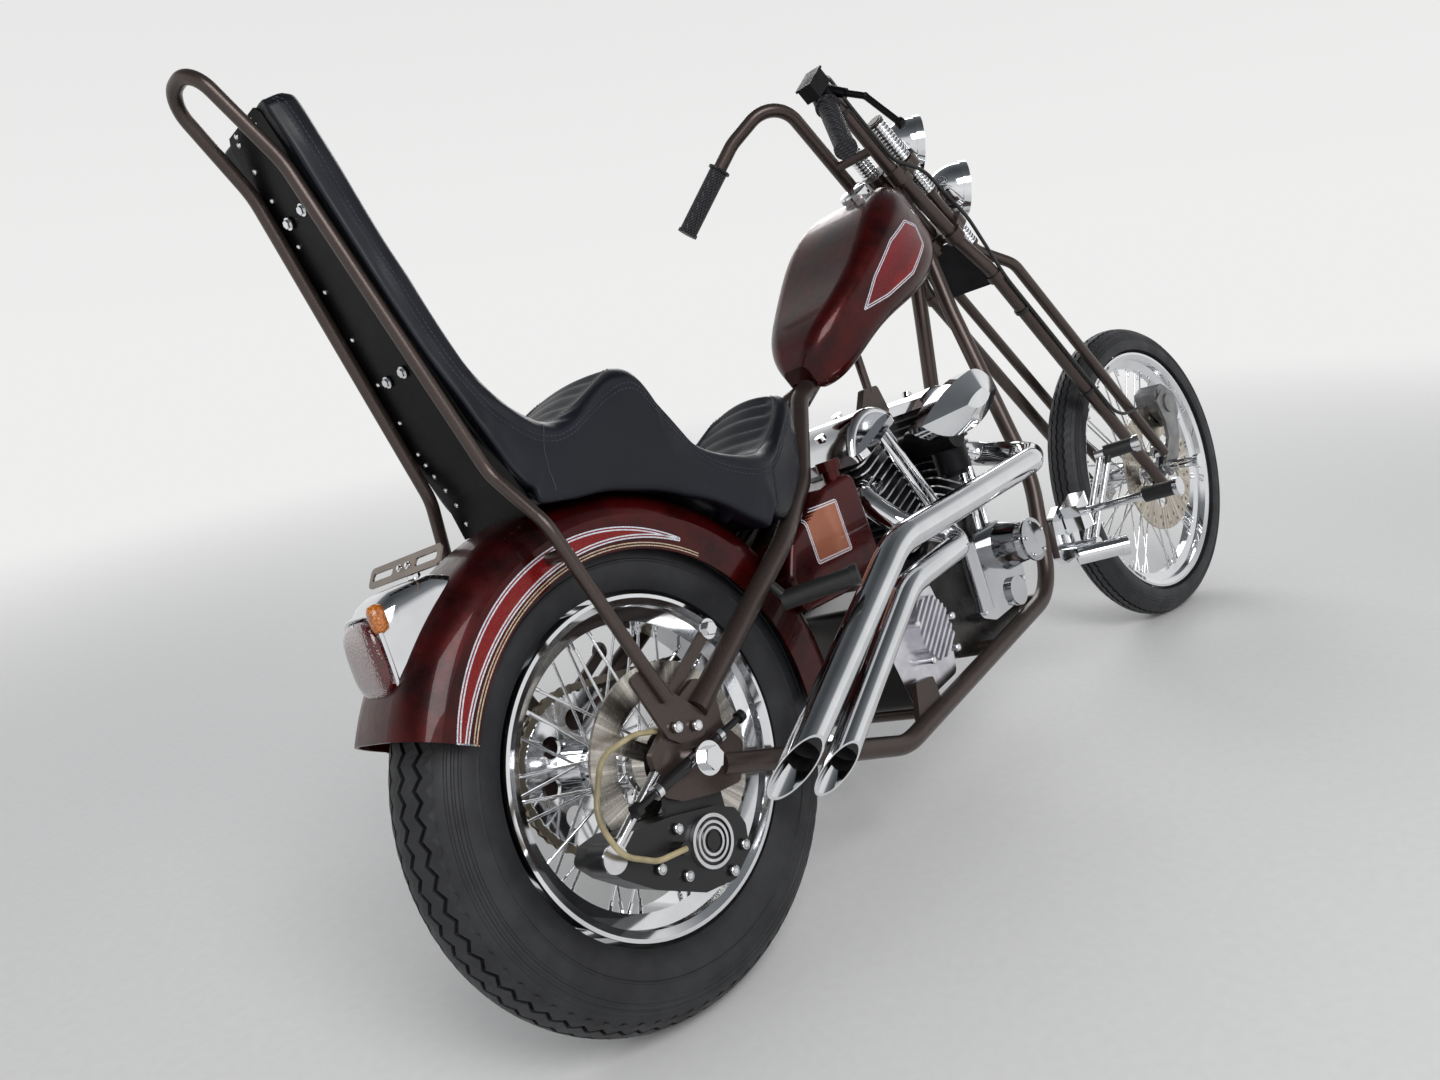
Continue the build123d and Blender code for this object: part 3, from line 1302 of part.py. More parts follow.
def report_joints(middle):
    front = tuple(steered((WHEELBASE, 0, FRONT_AXLE_RISE)))
    front_spin = rotate_vector(Y_AXIS, STEER_AXIS, STEER)
    leg = stand_foot() - Vector(*STAND_PIVOT)
    rows = [
        ("rear wheel", to_floor((0, 0, 0)), lean_vector(Y_AXIS, PITCH)),
        ("front wheel", to_floor(front), lean_vector(front_spin, PITCH)),
        ("steering", to_floor((NECK_X, 0, NECK_Z)), lean_vector(STEER_AXIS, PITCH)),
        ("side stand", to_floor(STAND_PIVOT), lean_vector(stand_axis(), PITCH)),
        ("stand foot", to_floor(tuple(stand_foot())), Vector(0, 0, -1)),
    ]
    for name, at, axis in rows:
        at = at - middle
        print(name, "at", round(at.X, 3), round(at.Y, 3), round(at.Z, 3), "axis", axis.X, axis.Y, axis.Z)
    print("origin in the bike's own plan", middle.X, middle.Y)
    print("side stand swing", leg.get_angle(Vector(*STAND_FOLDED)))


main()
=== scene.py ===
import json
from math import atan2, ceil, cos, hypot, pi, radians, sin, sqrt

import bpy
from mathutils import Matrix, Vector, noise
from mathutils.bvhtree import BVHTree
from mathutils.geometry import delaunay_2d_cdt


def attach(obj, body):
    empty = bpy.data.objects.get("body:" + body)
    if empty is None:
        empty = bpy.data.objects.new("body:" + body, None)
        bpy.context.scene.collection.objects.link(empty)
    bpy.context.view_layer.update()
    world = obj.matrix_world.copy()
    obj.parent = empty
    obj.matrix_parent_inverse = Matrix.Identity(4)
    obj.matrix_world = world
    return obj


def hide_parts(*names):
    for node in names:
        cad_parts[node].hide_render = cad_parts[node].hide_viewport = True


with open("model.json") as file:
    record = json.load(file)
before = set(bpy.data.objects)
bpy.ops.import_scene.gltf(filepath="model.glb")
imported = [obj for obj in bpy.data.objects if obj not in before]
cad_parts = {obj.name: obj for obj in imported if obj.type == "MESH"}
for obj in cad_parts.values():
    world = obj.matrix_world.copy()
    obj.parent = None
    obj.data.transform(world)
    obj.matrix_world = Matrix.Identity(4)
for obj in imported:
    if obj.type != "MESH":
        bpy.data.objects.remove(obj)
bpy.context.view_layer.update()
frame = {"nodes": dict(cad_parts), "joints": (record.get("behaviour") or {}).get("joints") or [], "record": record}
NODES = frame["nodes"]
JOINTS = {joint["name"]: joint for joint in frame["joints"]}

# The bike's own frame: origin at the rear axle, X forward, Y left, Z up the frame
RAKE, STEER = radians(38), radians(-6)
REAR_AXLE = Vector(JOINTS["rear_wheel_spin"]["pos_m"])
FRONT_AXLE = Vector(JOINTS["front_wheel_spin"]["pos_m"])
BIKE_Y = Vector(JOINTS["rear_wheel_spin"]["axis"]).normalized()
STEER_UP = Vector(JOINTS["steering"]["axis"]).normalized()
STEER_AHEAD = BIKE_Y.cross(STEER_UP)
BIKE_X = cos(RAKE) * STEER_AHEAD - sin(RAKE) * STEER_UP
BIKE_Z = sin(RAKE) * STEER_AHEAD + cos(RAKE) * STEER_UP
FORK_AHEAD = STEER_AHEAD * cos(STEER) + BIKE_Y * sin(STEER)
FORK_LEFT = BIKE_Y * cos(STEER) - STEER_AHEAD * sin(STEER)
MM = 0.001
STEERING_AT = (1068, 0, 687)


def bike_direction(x, y, z):
    return BIKE_X * x + BIKE_Y * y + BIKE_Z * z


def bike(x, y, z):
    return REAR_AXLE + bike_direction(x, y, z) * MM


def fork(n, y, z):
    # n ahead of the steering axis, y to its left, z up along it
    return bike(*STEERING_AT) + (FORK_AHEAD * n + FORK_LEFT * y + STEER_UP * z) * MM


# Camera, placed where the photograph was taken from
CAMERA_AT = (-833, -1151, 307)
CAMERA_LOOK = (0.697, 0.715, -0.048)
CAMERA_UP = (0.266, -0.196, 0.944)
LENS = 27.05


def make_camera():
    data = bpy.data.cameras.new("camera")
    data.lens = LENS
    data.sensor_width = 36.0
    data.clip_start = 0.05
    camera = bpy.data.objects.new("camera", data)
    look = bike_direction(*CAMERA_LOOK).normalized()
    side = look.cross(bike_direction(*CAMERA_UP)).normalized()
    up = side.cross(look)
    turn = Matrix((side, up, -look)).transposed().to_4x4()
    camera.matrix_world = Matrix.Translation(bike(*CAMERA_AT)) @ turn
    bpy.context.scene.collection.objects.link(camera)
    bpy.context.scene.camera = camera


make_camera()


# Material helpers
class Nodes:
    # A node tree, filled by short calls
    def __init__(self, tree):
        self.tree = tree

    def link(self, source, target):
        self.tree.links.new(source, target)

    def add(self, kind, links=(), **settings):
        made = self.tree.nodes.new(kind)
        for key, value in settings.items():
            if key.startswith("in_"):
                made.inputs[key[3:].replace("_", " ")].default_value = value
            else:
                setattr(made, key, value)
        for source, socket in links:
            self.link(source, made.inputs[socket])
        return made

    def math(self, operation, *values):
        made = self.add("ShaderNodeMath", operation=operation)
        for i, value in enumerate(values):
            if isinstance(value, (int, float)):
                made.inputs[i].default_value = value
            else:
                self.link(value, made.inputs[i])
        return made.outputs[0]

    def times(self, *values):
        return self.math("MULTIPLY", *values)

    def plus(self, *values):
        return self.math("ADD", *values)

    def above(self, value, limit):
        return self.math("GREATER_THAN", value, limit)

    def below(self, value, limit):
        return self.math("LESS_THAN", value, limit)

    def size(self, value):
        return self.math("ABSOLUTE", value)

    def length(self, one, two):
        return self.math("SQRT", self.plus(self.times(one, one), self.times(two, two)))

    def between(self, value, low, high):
        return self.times(self.above(value, low), self.below(value, high))

    def colour_ramp(self, fac, stops):
        made = self.add("ShaderNodeValToRGB", [(fac, "Fac")])
        elements = made.color_ramp.elements
        for i, (at, color) in enumerate(stops):
            element = elements[i] if i < 2 else elements.new(at)
            element.position = at
            element.color = (*color, 1)
        return made.outputs["Color"]

    def seen_share(self):
        # 1 where the camera, a reflection or clear glass looks, 0 for the light itself
        path = self.add("ShaderNodeLightPath").outputs
        through_glass = self.math("MAXIMUM", path["Is Glossy Ray"], path["Is Transmission Ray"])
        return self.math("MAXIMUM", path["Is Camera Ray"], through_glass)


class Look(Nodes):
    # A Principled material, coloured from object coordinates
    def __init__(self, name, color, rough, metal=0.0, **extra):
        self.material = bpy.data.materials.new(name)
        self.material.use_nodes = True
        super().__init__(self.material.node_tree)
        self.shader = self.tree.nodes["Principled BSDF"]
        self.set("Base Color", (*color, 1))
        self.set("Roughness", rough)
        self.set("Metallic", metal)
        for key, value in extra.items():
            self.set(key.replace("_", " "), value)
        self.coords = self.add("ShaderNodeTexCoord").outputs["Object"]

    def set(self, socket, value):
        self.shader.inputs[socket].default_value = value

    def dot(self, direction, source=None):
        made = self.add("ShaderNodeVectorMath", operation="DOT_PRODUCT")
        self.link(source or self.coords, made.inputs[0])
        made.inputs[1].default_value = direction
        return made.outputs["Value"]

    def place(self, axes, origin):
        # Coordinates along the given axes from a point, in metres
        moved = self.add("ShaderNodeVectorMath", [(self.coords, 0)], operation="SUBTRACT")
        moved.inputs[1].default_value = origin
        return [self.dot(axis, moved.outputs[0]) for axis in axes]

    def noise(self, scale, detail=4.0, rough=0.55, source=None):
        made = self.add("ShaderNodeTexNoise", in_Scale=scale, in_Detail=detail, in_Roughness=rough)
        self.link(source or self.coords, made.inputs["Vector"])
        return made.outputs["Fac"]

    def cells(self, scale, feature="F1"):
        made = self.add("ShaderNodeTexVoronoi", [(self.coords, "Vector")], feature=feature, in_Scale=scale)
        return made.outputs["Distance"]

    def flakes(self, scale, weights, power, share):
        # Few bright cells among many dark ones
        cell = self.add("ShaderNodeTexVoronoi", [(self.coords, "Vector")], in_Scale=scale)
        return self.times(self.math("POWER", self.dot(weights, cell.outputs["Color"]), power), share)

    def ramp(self, fac, *stops, socket="Base Color"):
        color = self.colour_ramp(fac, stops)
        if socket:
            self.link(color, self.shader.inputs[socket])
        return color

    def mix(self, fac, one, two, socket=None):
        made = self.add("ShaderNodeMix", data_type="RGBA")
        for value, slot in ((fac, 0), (one, 6), (two, 7)):
            if isinstance(value, tuple):
                made.inputs[slot].default_value = (*value, 1)
            elif isinstance(value, (int, float)):
                made.inputs[slot].default_value = value
            else:
                self.link(value, made.inputs[slot])
        if socket:
            self.link(made.outputs[2], self.shader.inputs[socket])
        return made.outputs[2]

    def span(self, fac, low, high):
        # The roughness between two values
        made = self.add("ShaderNodeMapRange", [(fac, "Value")], in_To_Min=low, in_To_Max=high)
        made.inputs["From Min"].default_value = 0.3
        made.inputs["From Max"].default_value = 0.7
        self.link(made.outputs[0], self.shader.inputs["Roughness"])

    def bump(self, height, distance, strength=1.0):
        made = self.add("ShaderNodeBump", [(height, "Height")], in_Distance=distance, in_Strength=strength)
        self.link(made.outputs["Normal"], self.shader.inputs["Normal"])


def shade(color, factor):
    return tuple(min(1.0, c * factor) for c in color)


def metal_look(name, color, rough, spread, grain, depth, **extra):
    # Plain or plated metal: cloudy roughness, faint stains, fine grain
    look = Look(name, color, rough, 1.0, **extra)
    look.span(look.noise(14, 5), rough * (1 - spread), rough * (1 + spread))
    look.ramp(look.noise(9, 6), (0.35, shade(color, 0.86)), (0.62, color))
    if depth:
        look.bump(look.noise(grain, 3), depth)
    return look.material


def turned_look(name, color, rough, centre, axis, scale, depth):
    # Polished metal with rings left by turning about an axis
    look = Look(name, color, rough, 1.0)
    away = axis.orthogonal().normalized()
    x, z = look.place((away, axis.cross(away)), centre)
    angle = look.math("ARCTAN2", z, x)
    along = look.add("ShaderNodeCombineXYZ", [(look.times(look.length(x, z), scale), "X")])
    look.bump(look.noise(1.0, 2, source=along.outputs[0]), depth)
    turn = look.add("ShaderNodeCombineXYZ", [(look.times(angle, 5.0), "X")])
    streak = look.noise(2.2, 5, 0.7, source=turn.outputs[0])
    look.ramp(streak, (0.34, shade(color, 0.42)), (0.5, shade(color, 0.8)), (0.66, shade(color, 1.3)))
    look.span(look.noise(30, 4), rough * 0.7, rough * 1.4)
    return look.material


FLAKE_SCALE, FLAKE_WEIGHTS = 900.0, (0.4, 0.4, 0.3)


def lacquer(name, color):
    # Clear lacquer over metal flake
    look = Look(name, color, 0.3, 0.45, Coat_Weight=0.3, Coat_Roughness=0.03, Specular_IOR_Level=0.2)
    look.span(look.noise(60, 3), 0.26, 0.4)
    return look


def paint_look(name, deep, bright):
    # Slow patches of a second tone
    look = lacquer(name, deep)
    tone = look.ramp(look.noise(13, 6, 0.6), (0.36, deep), (0.64, bright), socket=None)
    glint = look.flakes(FLAKE_SCALE, FLAKE_WEIGHTS, 3.0, 0.22)
    look.mix(glint, tone, shade(bright, 2.6), socket="Base Color")
    return look.material


def lined_look(name, stops, axes, origin):
    # Colours across a panel or, with two axes, away from a centre, their edges softly waved
    look = lacquer(name, stops[0][1])
    places = look.place(axes, origin)
    across = look.length(*places) if len(places) == 2 else places[0]
    waved = look.plus(across, look.times(look.math("SUBTRACT", look.noise(26, 5), 0.5), 0.05))
    tone = look.ramp(waved, *stops, socket=None)
    glint = look.flakes(FLAKE_SCALE, FLAKE_WEIGHTS, 3.0, 0.10)
    look.mix(glint, tone, (0.8, 0.35, 0.3), socket="Base Color")
    return look.material


def leather_look(name, color, rough=0.42):
    look = Look(name, color, rough, Coat_Weight=0.04, Coat_Roughness=0.35, Specular_IOR_Level=0.32)
    fine = look.cells(520, "DISTANCE_TO_EDGE")
    creases = look.noise(95, 5, 0.6)
    grain = look.plus(look.times(fine, 0.8), look.times(creases, 0.5))
    look.bump(grain, 0.00018, 0.4)
    look.ramp(look.noise(7, 5), (0.35, shade(color, 0.7)), (0.7, shade(color, 1.35)))
    look.span(look.noise(16, 4), rough * 0.82, rough * 1.2)
    return look.material


def rubber_look(name, color, rough, **extra):
    look = Look(name, color, rough, **extra)
    look.bump(look.noise(380, 4), 0.0004, 0.5)
    look.ramp(look.noise(18, 6), (0.36, shade(color, 0.7)), (0.68, shade(color, 1.7)))
    look.span(look.noise(24, 5), rough * 0.85, min(1, rough * 1.2))
    return look.material


def brown_look():
    # Bronze powder coat: fine sparkle, satin
    color = (0.048, 0.034, 0.030)
    look = Look("bronze_coat", color, 0.34, 0.6, Coat_Weight=0.2, Coat_Roughness=0.25)
    tone = look.ramp(look.noise(8, 4), (0.3, shade(color, 0.85)), (0.7, shade(color, 1.2)), socket=None)
    look.mix(look.flakes(1500.0, (0.4, 0.3, 0.4), 2.0, 0.22), tone, (0.26, 0.19, 0.16), socket="Base Color")
    look.bump(look.noise(700, 2), 0.0001, 0.15)
    return look.material


def cast_look(name, color, rough=0.42):
    look = Look(name, color, rough, 0.9)
    look.bump(look.noise(420, 5, 0.7), 0.0005, 0.6)
    look.ramp(look.noise(26, 6), (0.3, shade(color, 0.62)), (0.66, shade(color, 1.15)))
    look.span(look.noise(40, 4), rough * 0.8, rough * 1.25)
    return look.material


def fins_look():
    # Black barrels whose fin edges are machined bright
    look = Look("finned_barrels", (0.02, 0.02, 0.022), 0.35)
    normal = look.add("ShaderNodeNewGeometry").outputs["True Normal"]
    side = look.place((BIKE_X,), bike(760, 0, 0))[0]
    half = radians(22.5)
    ahead = look.dot(bike_direction(sin(half), 0, cos(half)), normal)
    behind = look.dot(bike_direction(-sin(half), 0, cos(half)), normal)
    front = look.above(side, 0.0)
    part = look.times(look.size(ahead), front)
    other = look.times(look.size(behind), look.math("SUBTRACT", 1.0, front))
    edge = look.below(look.plus(part, other), 0.45)
    depth = look.place((BIKE_Y,), bike(0, 0, 0))[0]
    far_out = look.above(look.size(depth), 0.0445)
    rim = look.times(edge, far_out)
    blacks = (0.3, (0.012, 0.012, 0.014)), (0.7, (0.035, 0.035, 0.038))
    dark = look.ramp(look.noise(30, 4), *blacks, socket=None)
    look.mix(rim, dark, (0.72, 0.72, 0.74), socket="Base Color")
    look.link(rim, look.shader.inputs["Metallic"])
    look.bump(look.noise(500, 4), 0.0003, 0.5)
    return look.material


def glass_look():
    look = Look("fluted_glass", (0.95, 0.97, 1.0), 0.04, Transmission_Weight=0.92, IOR=1.45)
    across = look.place((FORK_LEFT,), fork(0, 0, 0))[0]
    wave = look.size(look.math("SINE", look.times(across, pi / 0.007)))
    look.bump(wave, 0.0016, 0.8)
    look.span(look.noise(50), 0.03, 0.08)
    look.ramp(look.noise(20), (0.3, (0.88, 0.92, 0.95)), (0.7, (0.98, 0.99, 1.0)))
    return look.material


def lens_look(name, color):
    look = Look(name, color, 0.12, Coat_Weight=1.0, Coat_Roughness=0.02, Transmission_Weight=0.25)
    look.bump(look.cells(330, "F1"), 0.0012, 0.6)
    look.ramp(look.cells(330, "F1"), (0.1, shade(color, 1.5)), (0.7, shade(color, 0.6)))
    return look.material


def grip_look():
    # Rows of small diamonds pressed into the rubber; painted shade darkens the grooves between them
    look = Look("patterned_grip", (0.022, 0.022, 0.026), 0.5)
    along = (fork(-112, 0, 343) - fork(-257, 0, 297)).normalized()
    run, turn = look.place((along, STEER_UP), fork(-257, 0, 297))
    waves = []
    for sign in (1, -1):
        slant = look.plus(run, look.times(turn, 1.6 * sign))
        waves.append(look.size(look.math("SINE", look.times(slant, pi / 0.0095))))
    look.bump(look.math("MINIMUM", *waves), 0.0016, 1.0)
    # Painted shade: the colour goes darker in the grooves, where the bump is low
    look.ramp(look.math("MINIMUM", *waves), (0.05, (0.006, 0.006, 0.008)), (0.6, (0.03, 0.03, 0.035)))
    return look.material


def two_tone(name, mask, one, two):
    # One node in two finishes, told apart by place; each is colour, metal, roughness
    look = Look(name, one[0], one[2])
    part = mask(look)
    first = look.ramp(look.noise(12, 5), (0.35, shade(one[0], 0.84)), (0.65, one[0]), socket=None)
    second = look.ramp(look.noise(30, 5), (0.35, shade(two[0], 0.8)), (0.65, two[0]), socket=None)
    look.mix(part, first, second, socket="Base Color")
    for socket, a, b in (("Metallic", one[1], two[1]), ("Roughness", one[2], two[2])):
        value = look.plus(look.times(part, b - a), a)
        look.link(value, look.shader.inputs[socket])
    return look.material


def along_line(look, x, z, at, run):
    # How far a place lies along a direction from a point, in the bike's side view
    return look.plus(look.times(look.plus(x, -at[0]), run[0]), look.times(look.plus(z, -at[1]), run[1]))


def distance(look, x, z, at):
    return look.length(look.plus(x, -at[0]), look.plus(z, -at[1]))


def bike_places(look):
    return look.place((BIKE_X, BIKE_Y, BIKE_Z), REAR_AXLE)


# Masks: 1 where the second of two finishes is, by place in metres
def gearbox_mask(look):
    return look.below(bike_places(look)[1], -0.1035)


def axle_mask(look):
    # The threaded rods are black, their nuts bright
    x, y, z = bike_places(look)
    away = look.above(distance(look, x, z, (0, 0)), 0.0225)
    side = look.above(look.size(y), 0.130)
    along = along_line(look, x, z, (-0.120, -0.014), (0.9852, 0.1713))
    nuts = look.math("MAXIMUM", look.between(along, 0.0368, 0.0452), look.between(along, 0.1558, 0.1642))
    return look.times(look.times(away, side), look.math("SUBTRACT", 1.0, nuts))


def caliper_mask(look):
    # Silver on the cover's three rings, on the rod above and on its knuckle
    x, y, z = bike_places(look)
    knuckle_at = (-0.158, -0.052)
    outside = look.below(y, -0.1285)
    r = distance(look, x, z, (-0.020, -0.098))
    rings = look.between(r, 0.0286, 0.0334)
    for low, high in ((0.0212, 0.0246), (0.0142, 0.0176)):
        rings = look.math("MAXIMUM", rings, look.between(r, low, high))
    off = along_line(look, x, z, knuckle_at, (-0.5222, 0.8529))
    rod = look.times(look.below(look.size(off), 0.0068), look.between(y, -0.1302, -0.1155))
    rod = look.times(rod, look.between(z, -0.052, 0.012))
    knuckle = look.below(distance(look, x, z, knuckle_at), 0.0172)
    covered = look.times(look.math("MAXIMUM", rings, knuckle), outside)
    return look.math("MAXIMUM", covered, rod)


def peg_mask(look):
    _, y, z = bike_places(look)
    out = look.size(y)
    toe = look.times(look.between(out, 0.1945, 0.2435), look.above(z, 0.105))
    return look.math("MAXIMUM", look.between(out, 0.268, 0.3245), toe)


def line_look(name, color, rough, metal, scale, dark, pale):
    # Painted lines, a little uneven in tone
    look = Look(name, color, rough, metal, Coat_Weight=1.0)
    look.ramp(look.noise(scale, 2), (0.35, dark), (0.6, pale))
    return look.material


CHROME = metal_look("chrome", (0.83, 0.84, 0.86), 0.07, 0.35, 60, 0.0)
STEEL = metal_look("zinc_steel", (0.58, 0.58, 0.58), 0.27, 0.3, 300, 0.0002)
DARK_POLISH = metal_look("polished_case", (0.50, 0.51, 0.53), 0.09, 0.35, 60, 0.0)
STEEL_BROWN = metal_look("brown_steel", (0.24, 0.20, 0.17), 0.3, 0.3, 300, 0.0002)
CAST = cast_look("cast_alloy", (0.27, 0.27, 0.275))
DARK_CAST = cast_look("dark_crankcase", (0.075, 0.07, 0.068), 0.3)
BRONZE = brown_look()
BLACK = cast_look("black_castings", (0.016, 0.016, 0.018), 0.4)
LEATHER = leather_look("black_leather", (0.0045, 0.0058, 0.011), 0.40)
TYRE = rubber_look("tyre_rubber", (0.014, 0.0145, 0.017), 0.55)
RUBBER = rubber_look("black_rubber", (0.009, 0.009, 0.0095), 0.42)
HOSE = rubber_look("tan_hose", (0.36, 0.30, 0.17), 0.35)
RED_PAINT = paint_look("red_flake", (0.010, 0.0008, 0.0010), (0.065, 0.002, 0.002))
GLASS = glass_look()
RED_LENS = lens_look("red_lens", (0.11, 0.004, 0.004))
AMBER_LENS = lens_look("amber_lens", (0.75, 0.20, 0.01))
THREAD = rubber_look("stitching_thread", (0.03, 0.034, 0.05), 0.7)
BOARD = rubber_look("black_board", (0.003, 0.003, 0.0034), 0.3, Specular_IOR_Level=0.12)
SOOT = rubber_look("pipe_inside", (0.012, 0.011, 0.011), 0.8)
SILVER_LINE = line_look(
    "silver_line", (0.62, 0.66, 0.74), 0.35, 0.35, 700, (0.42, 0.47, 0.58), (0.85, 0.88, 0.93)
)
GOLD_LINE = line_look("gold_line", (0.5, 0.38, 0.24), 0.4, 0.5, 900, (0.22, 0.14, 0.08), (0.78, 0.63, 0.45))
DISC = turned_look("turned_disc", (0.66, 0.62, 0.56), 0.22, REAR_AXLE, BIKE_Y, 2200.0, 0.0002)
FRONT_DISC = turned_look("front_disc", (0.6, 0.55, 0.47), 0.26, FRONT_AXLE, FORK_LEFT, 2200.0, 0.0002)
CHAIN = metal_look("oiled_chain", (0.26, 0.23, 0.18), 0.38, 0.3, 300, 0.0003)

LOOKS = {
    "frame_paint": BRONZE,
    "flake_paint": RED_PAINT,
    "chrome": CHROME,
    "polished_alloy": DARK_POLISH,
    "cast_alloy": CAST,
    "dark_metal": BLACK,
    "steel": STEEL,
    "leather": LEATHER,
    "rubber": RUBBER,
    "hose": HOSE,
    "tyre": TYRE,
    "clear_glass": GLASS,
    "red_lens": RED_LENS,
}
SPECIAL = {
    "cylinders": fins_look(),
    "rear_disc": DISC,
    "front_disc": FRONT_DISC,
    "transmission": two_tone(
        "gearbox", gearbox_mask, ((0.05, 0.047, 0.046), 0.8, 0.35), ((0.70, 0.69, 0.74), 1.0, 0.24)
    ),
    "front_caliper": CAST,
    "handlebar_grips": grip_look(),
    "crankcase": DARK_CAST,
    "rear_axle": two_tone(
        "axle_ends", axle_mask, ((0.83, 0.84, 0.86), 1.0, 0.08), ((0.012, 0.012, 0.013), 0.2, 0.35)
    ),
    "rear_caliper": two_tone(
        "ringed_caliper", caliper_mask, ((0.012, 0.012, 0.013), 0.1, 0.36), ((0.75, 0.75, 0.77), 1.0, 0.2)
    ),
    "forward_controls": two_tone(
        "foot_controls", peg_mask, ((0.80, 0.81, 0.83), 1.0, 0.09), ((0.010, 0.010, 0.011), 0.0, 0.5)
    ),
    "drive_chain": CHAIN,
}
SLOT_OF = {row["node"]: row["material_slot"] for row in frame["record"]["subparts"]}
for name, node in NODES.items():
    node.data.materials.clear()
    node.data.materials.append(SPECIAL.get(name) or LOOKS[SLOT_OF[name]])


# Mesh helpers
def piece(name, verts, faces, material, body, smooth=True):
    mesh = bpy.data.meshes.new(name)
    mesh.from_pydata([tuple(v) for v in verts], [], faces)
    mesh.materials.append(material)
    if smooth:
        mesh.shade_smooth()
    made = bpy.data.objects.new(name, mesh)
    bpy.context.scene.collection.objects.link(made)
    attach(made, body)
    return made


def tree_of(obj):
    mesh = obj.evaluated_get(bpy.context.evaluated_depsgraph_get()).to_mesh()
    verts = [obj.matrix_world @ v.co for v in mesh.vertices]
    return BVHTree.FromPolygons(verts, [tuple(p.vertices) for p in mesh.polygons])


def across(direction):
    one = direction.orthogonal().normalized()
    return one, direction.cross(one).normalized()


def quads(rows, wide, onward=False, flip=False, first=0):
    # Faces between rows of a closed section; onward also joins the last row to the first
    faces = []
    for j in range(rows if onward else rows - 1):
        a, b = first + j * wide, first + (j + 1) % rows * wide
        for i in range(wide):
            k = (i + 1) % wide
            faces.append((a + i, b + i, b + k, a + k) if flip else (a + i, a + k, b + k, b + i))
    return faces


def capped(rows, wide):
    last = (rows - 1) * wide
    return quads(rows, wide) + [tuple(range(wide))[::-1], tuple(last + i for i in range(wide))]


class Parts:
    # Gathers many small solids into one piece; sizes in millimetres
    def __init__(self):
        self.verts, self.faces = [], []

    def add(self, verts, faces):
        base = len(self.verts)
        self.verts += verts
        self.faces += [tuple(base + i for i in face) for face in faces]

    def turned(self, at, along, outline, sides=20):
        # Columns of the outline: radius, height
        up = along.normalized()
        one, two = across(up)
        verts = []
        for r, h in outline:
            for i in range(sides):
                a = 2 * pi * i / sides
                verts.append(at + (up * h + (one * cos(a) + two * sin(a)) * r) * MM)
        self.add(verts, capped(len(outline), sides))

    def hex_bolt(self, at, along, r, h):
        self.turned(at, along, [(r * 1.35, -0.5), (r * 1.35, h * 0.22), (r * 1.02, h * 0.22)], 24)
        self.turned(at, along, [(r, h * 0.2), (r, h * 0.9), (r * 0.86, h)], 6)

    def socket_bolt(self, at, along, r, h):
        rim = r * 0.9
        self.turned(at, along, [(r, -0.5), (r, h * 0.86), (rim, h)], 24)
        hole = [(r * 0.55, h), (r * 0.5, h * 0.35), (0.1, h * 0.3)]
        self.turned(at, along, [(rim, h * 0.99), (rim, h)] + hole, 12)

    def dome_stud(self, at, along, r):
        self.turned(at, along, [(r, -0.3), (r * 0.95, r * 0.3), (r * 0.7, r * 0.6), (r * 0.3, r * 0.78)], 14)

    def loop(self, points, r, sides=10):
        # A thin ring of round wire through the points
        count = len(points)
        side = None
        verts = []
        for i, p in enumerate(points):
            run = (points[(i + 1) % count] - points[i - 1]).normalized()
            side = (side - run * side.dot(run)).normalized() if side else run.orthogonal().normalized()
            up = run.cross(side)
            for k in range(sides):
                a = 2 * pi * k / sides
                verts.append(p + (side * cos(a) + up * sin(a)) * r * MM)
        self.add(verts, quads(count, sides, onward=True))

    def make(self, name, material, body, slot, smooth=False):
        return piece(name, self.verts, self.faces, material, body, smooth)


def ribbon(store, spots, width, lift, closed=False):
    # A thin strip on a surface; spots are pairs of point and normal
    count = len(spots)
    verts, faces = [], []
    for i, (p, n) in enumerate(spots):
        before = spots[i - 1][0] if i or closed else p
        after = spots[(i + 1) % count][0] if i < count - 1 or closed else p
        side = n.cross(after - before).normalized() * width * MM / 2
        up = n * lift * MM
        verts += [p - side + up, p + side + up, p - side * 0.96 - up, p + side * 0.96 - up]
    for i in range(count if closed else count - 1):
        a, b = 4 * i, 4 * ((i + 1) % count)
        faces += [(a, a + 1, b + 1, b), (a + 1, a + 3, b + 3, b + 1), (a + 2, a, b, b + 2)]
    store.add(verts, faces)


def dense(points, step, closed=False):
    # The line with more points on it
    out = []
    for a, b in zip(points, points[1:] + (points[:1] if closed else [])):
        run = max(1, ceil(hypot(b[0] - a[0], b[1] - a[1]) / step))
        out += [(a[0] + (b[0] - a[0]) * i / run, a[1] + (b[1] - a[1]) * i / run) for i in range(run)]
    return out if closed else out + [points[-1]]


def rounded(points, radius, closed=True, steps=6):
    # The outline with its corners turned into arcs
    out = []
    count = len(points)
    for i in range(count):
        p = Vector(points[i])
        if not closed and i in (0, count - 1):
            out.append(tuple(p))
            continue
        a, b = Vector(points[i - 1]) - p, Vector(points[(i + 1) % count]) - p
        reach = min(radius, a.length * 0.45, b.length * 0.45)
        start, end = p + a.normalized() * reach, p + b.normalized() * reach
        for k in range(steps + 1):
            t = k / steps
            q = start * (1 - t) ** 2 + p * 2 * t * (1 - t) + end * t**2
            out.append(tuple(q))
    return out


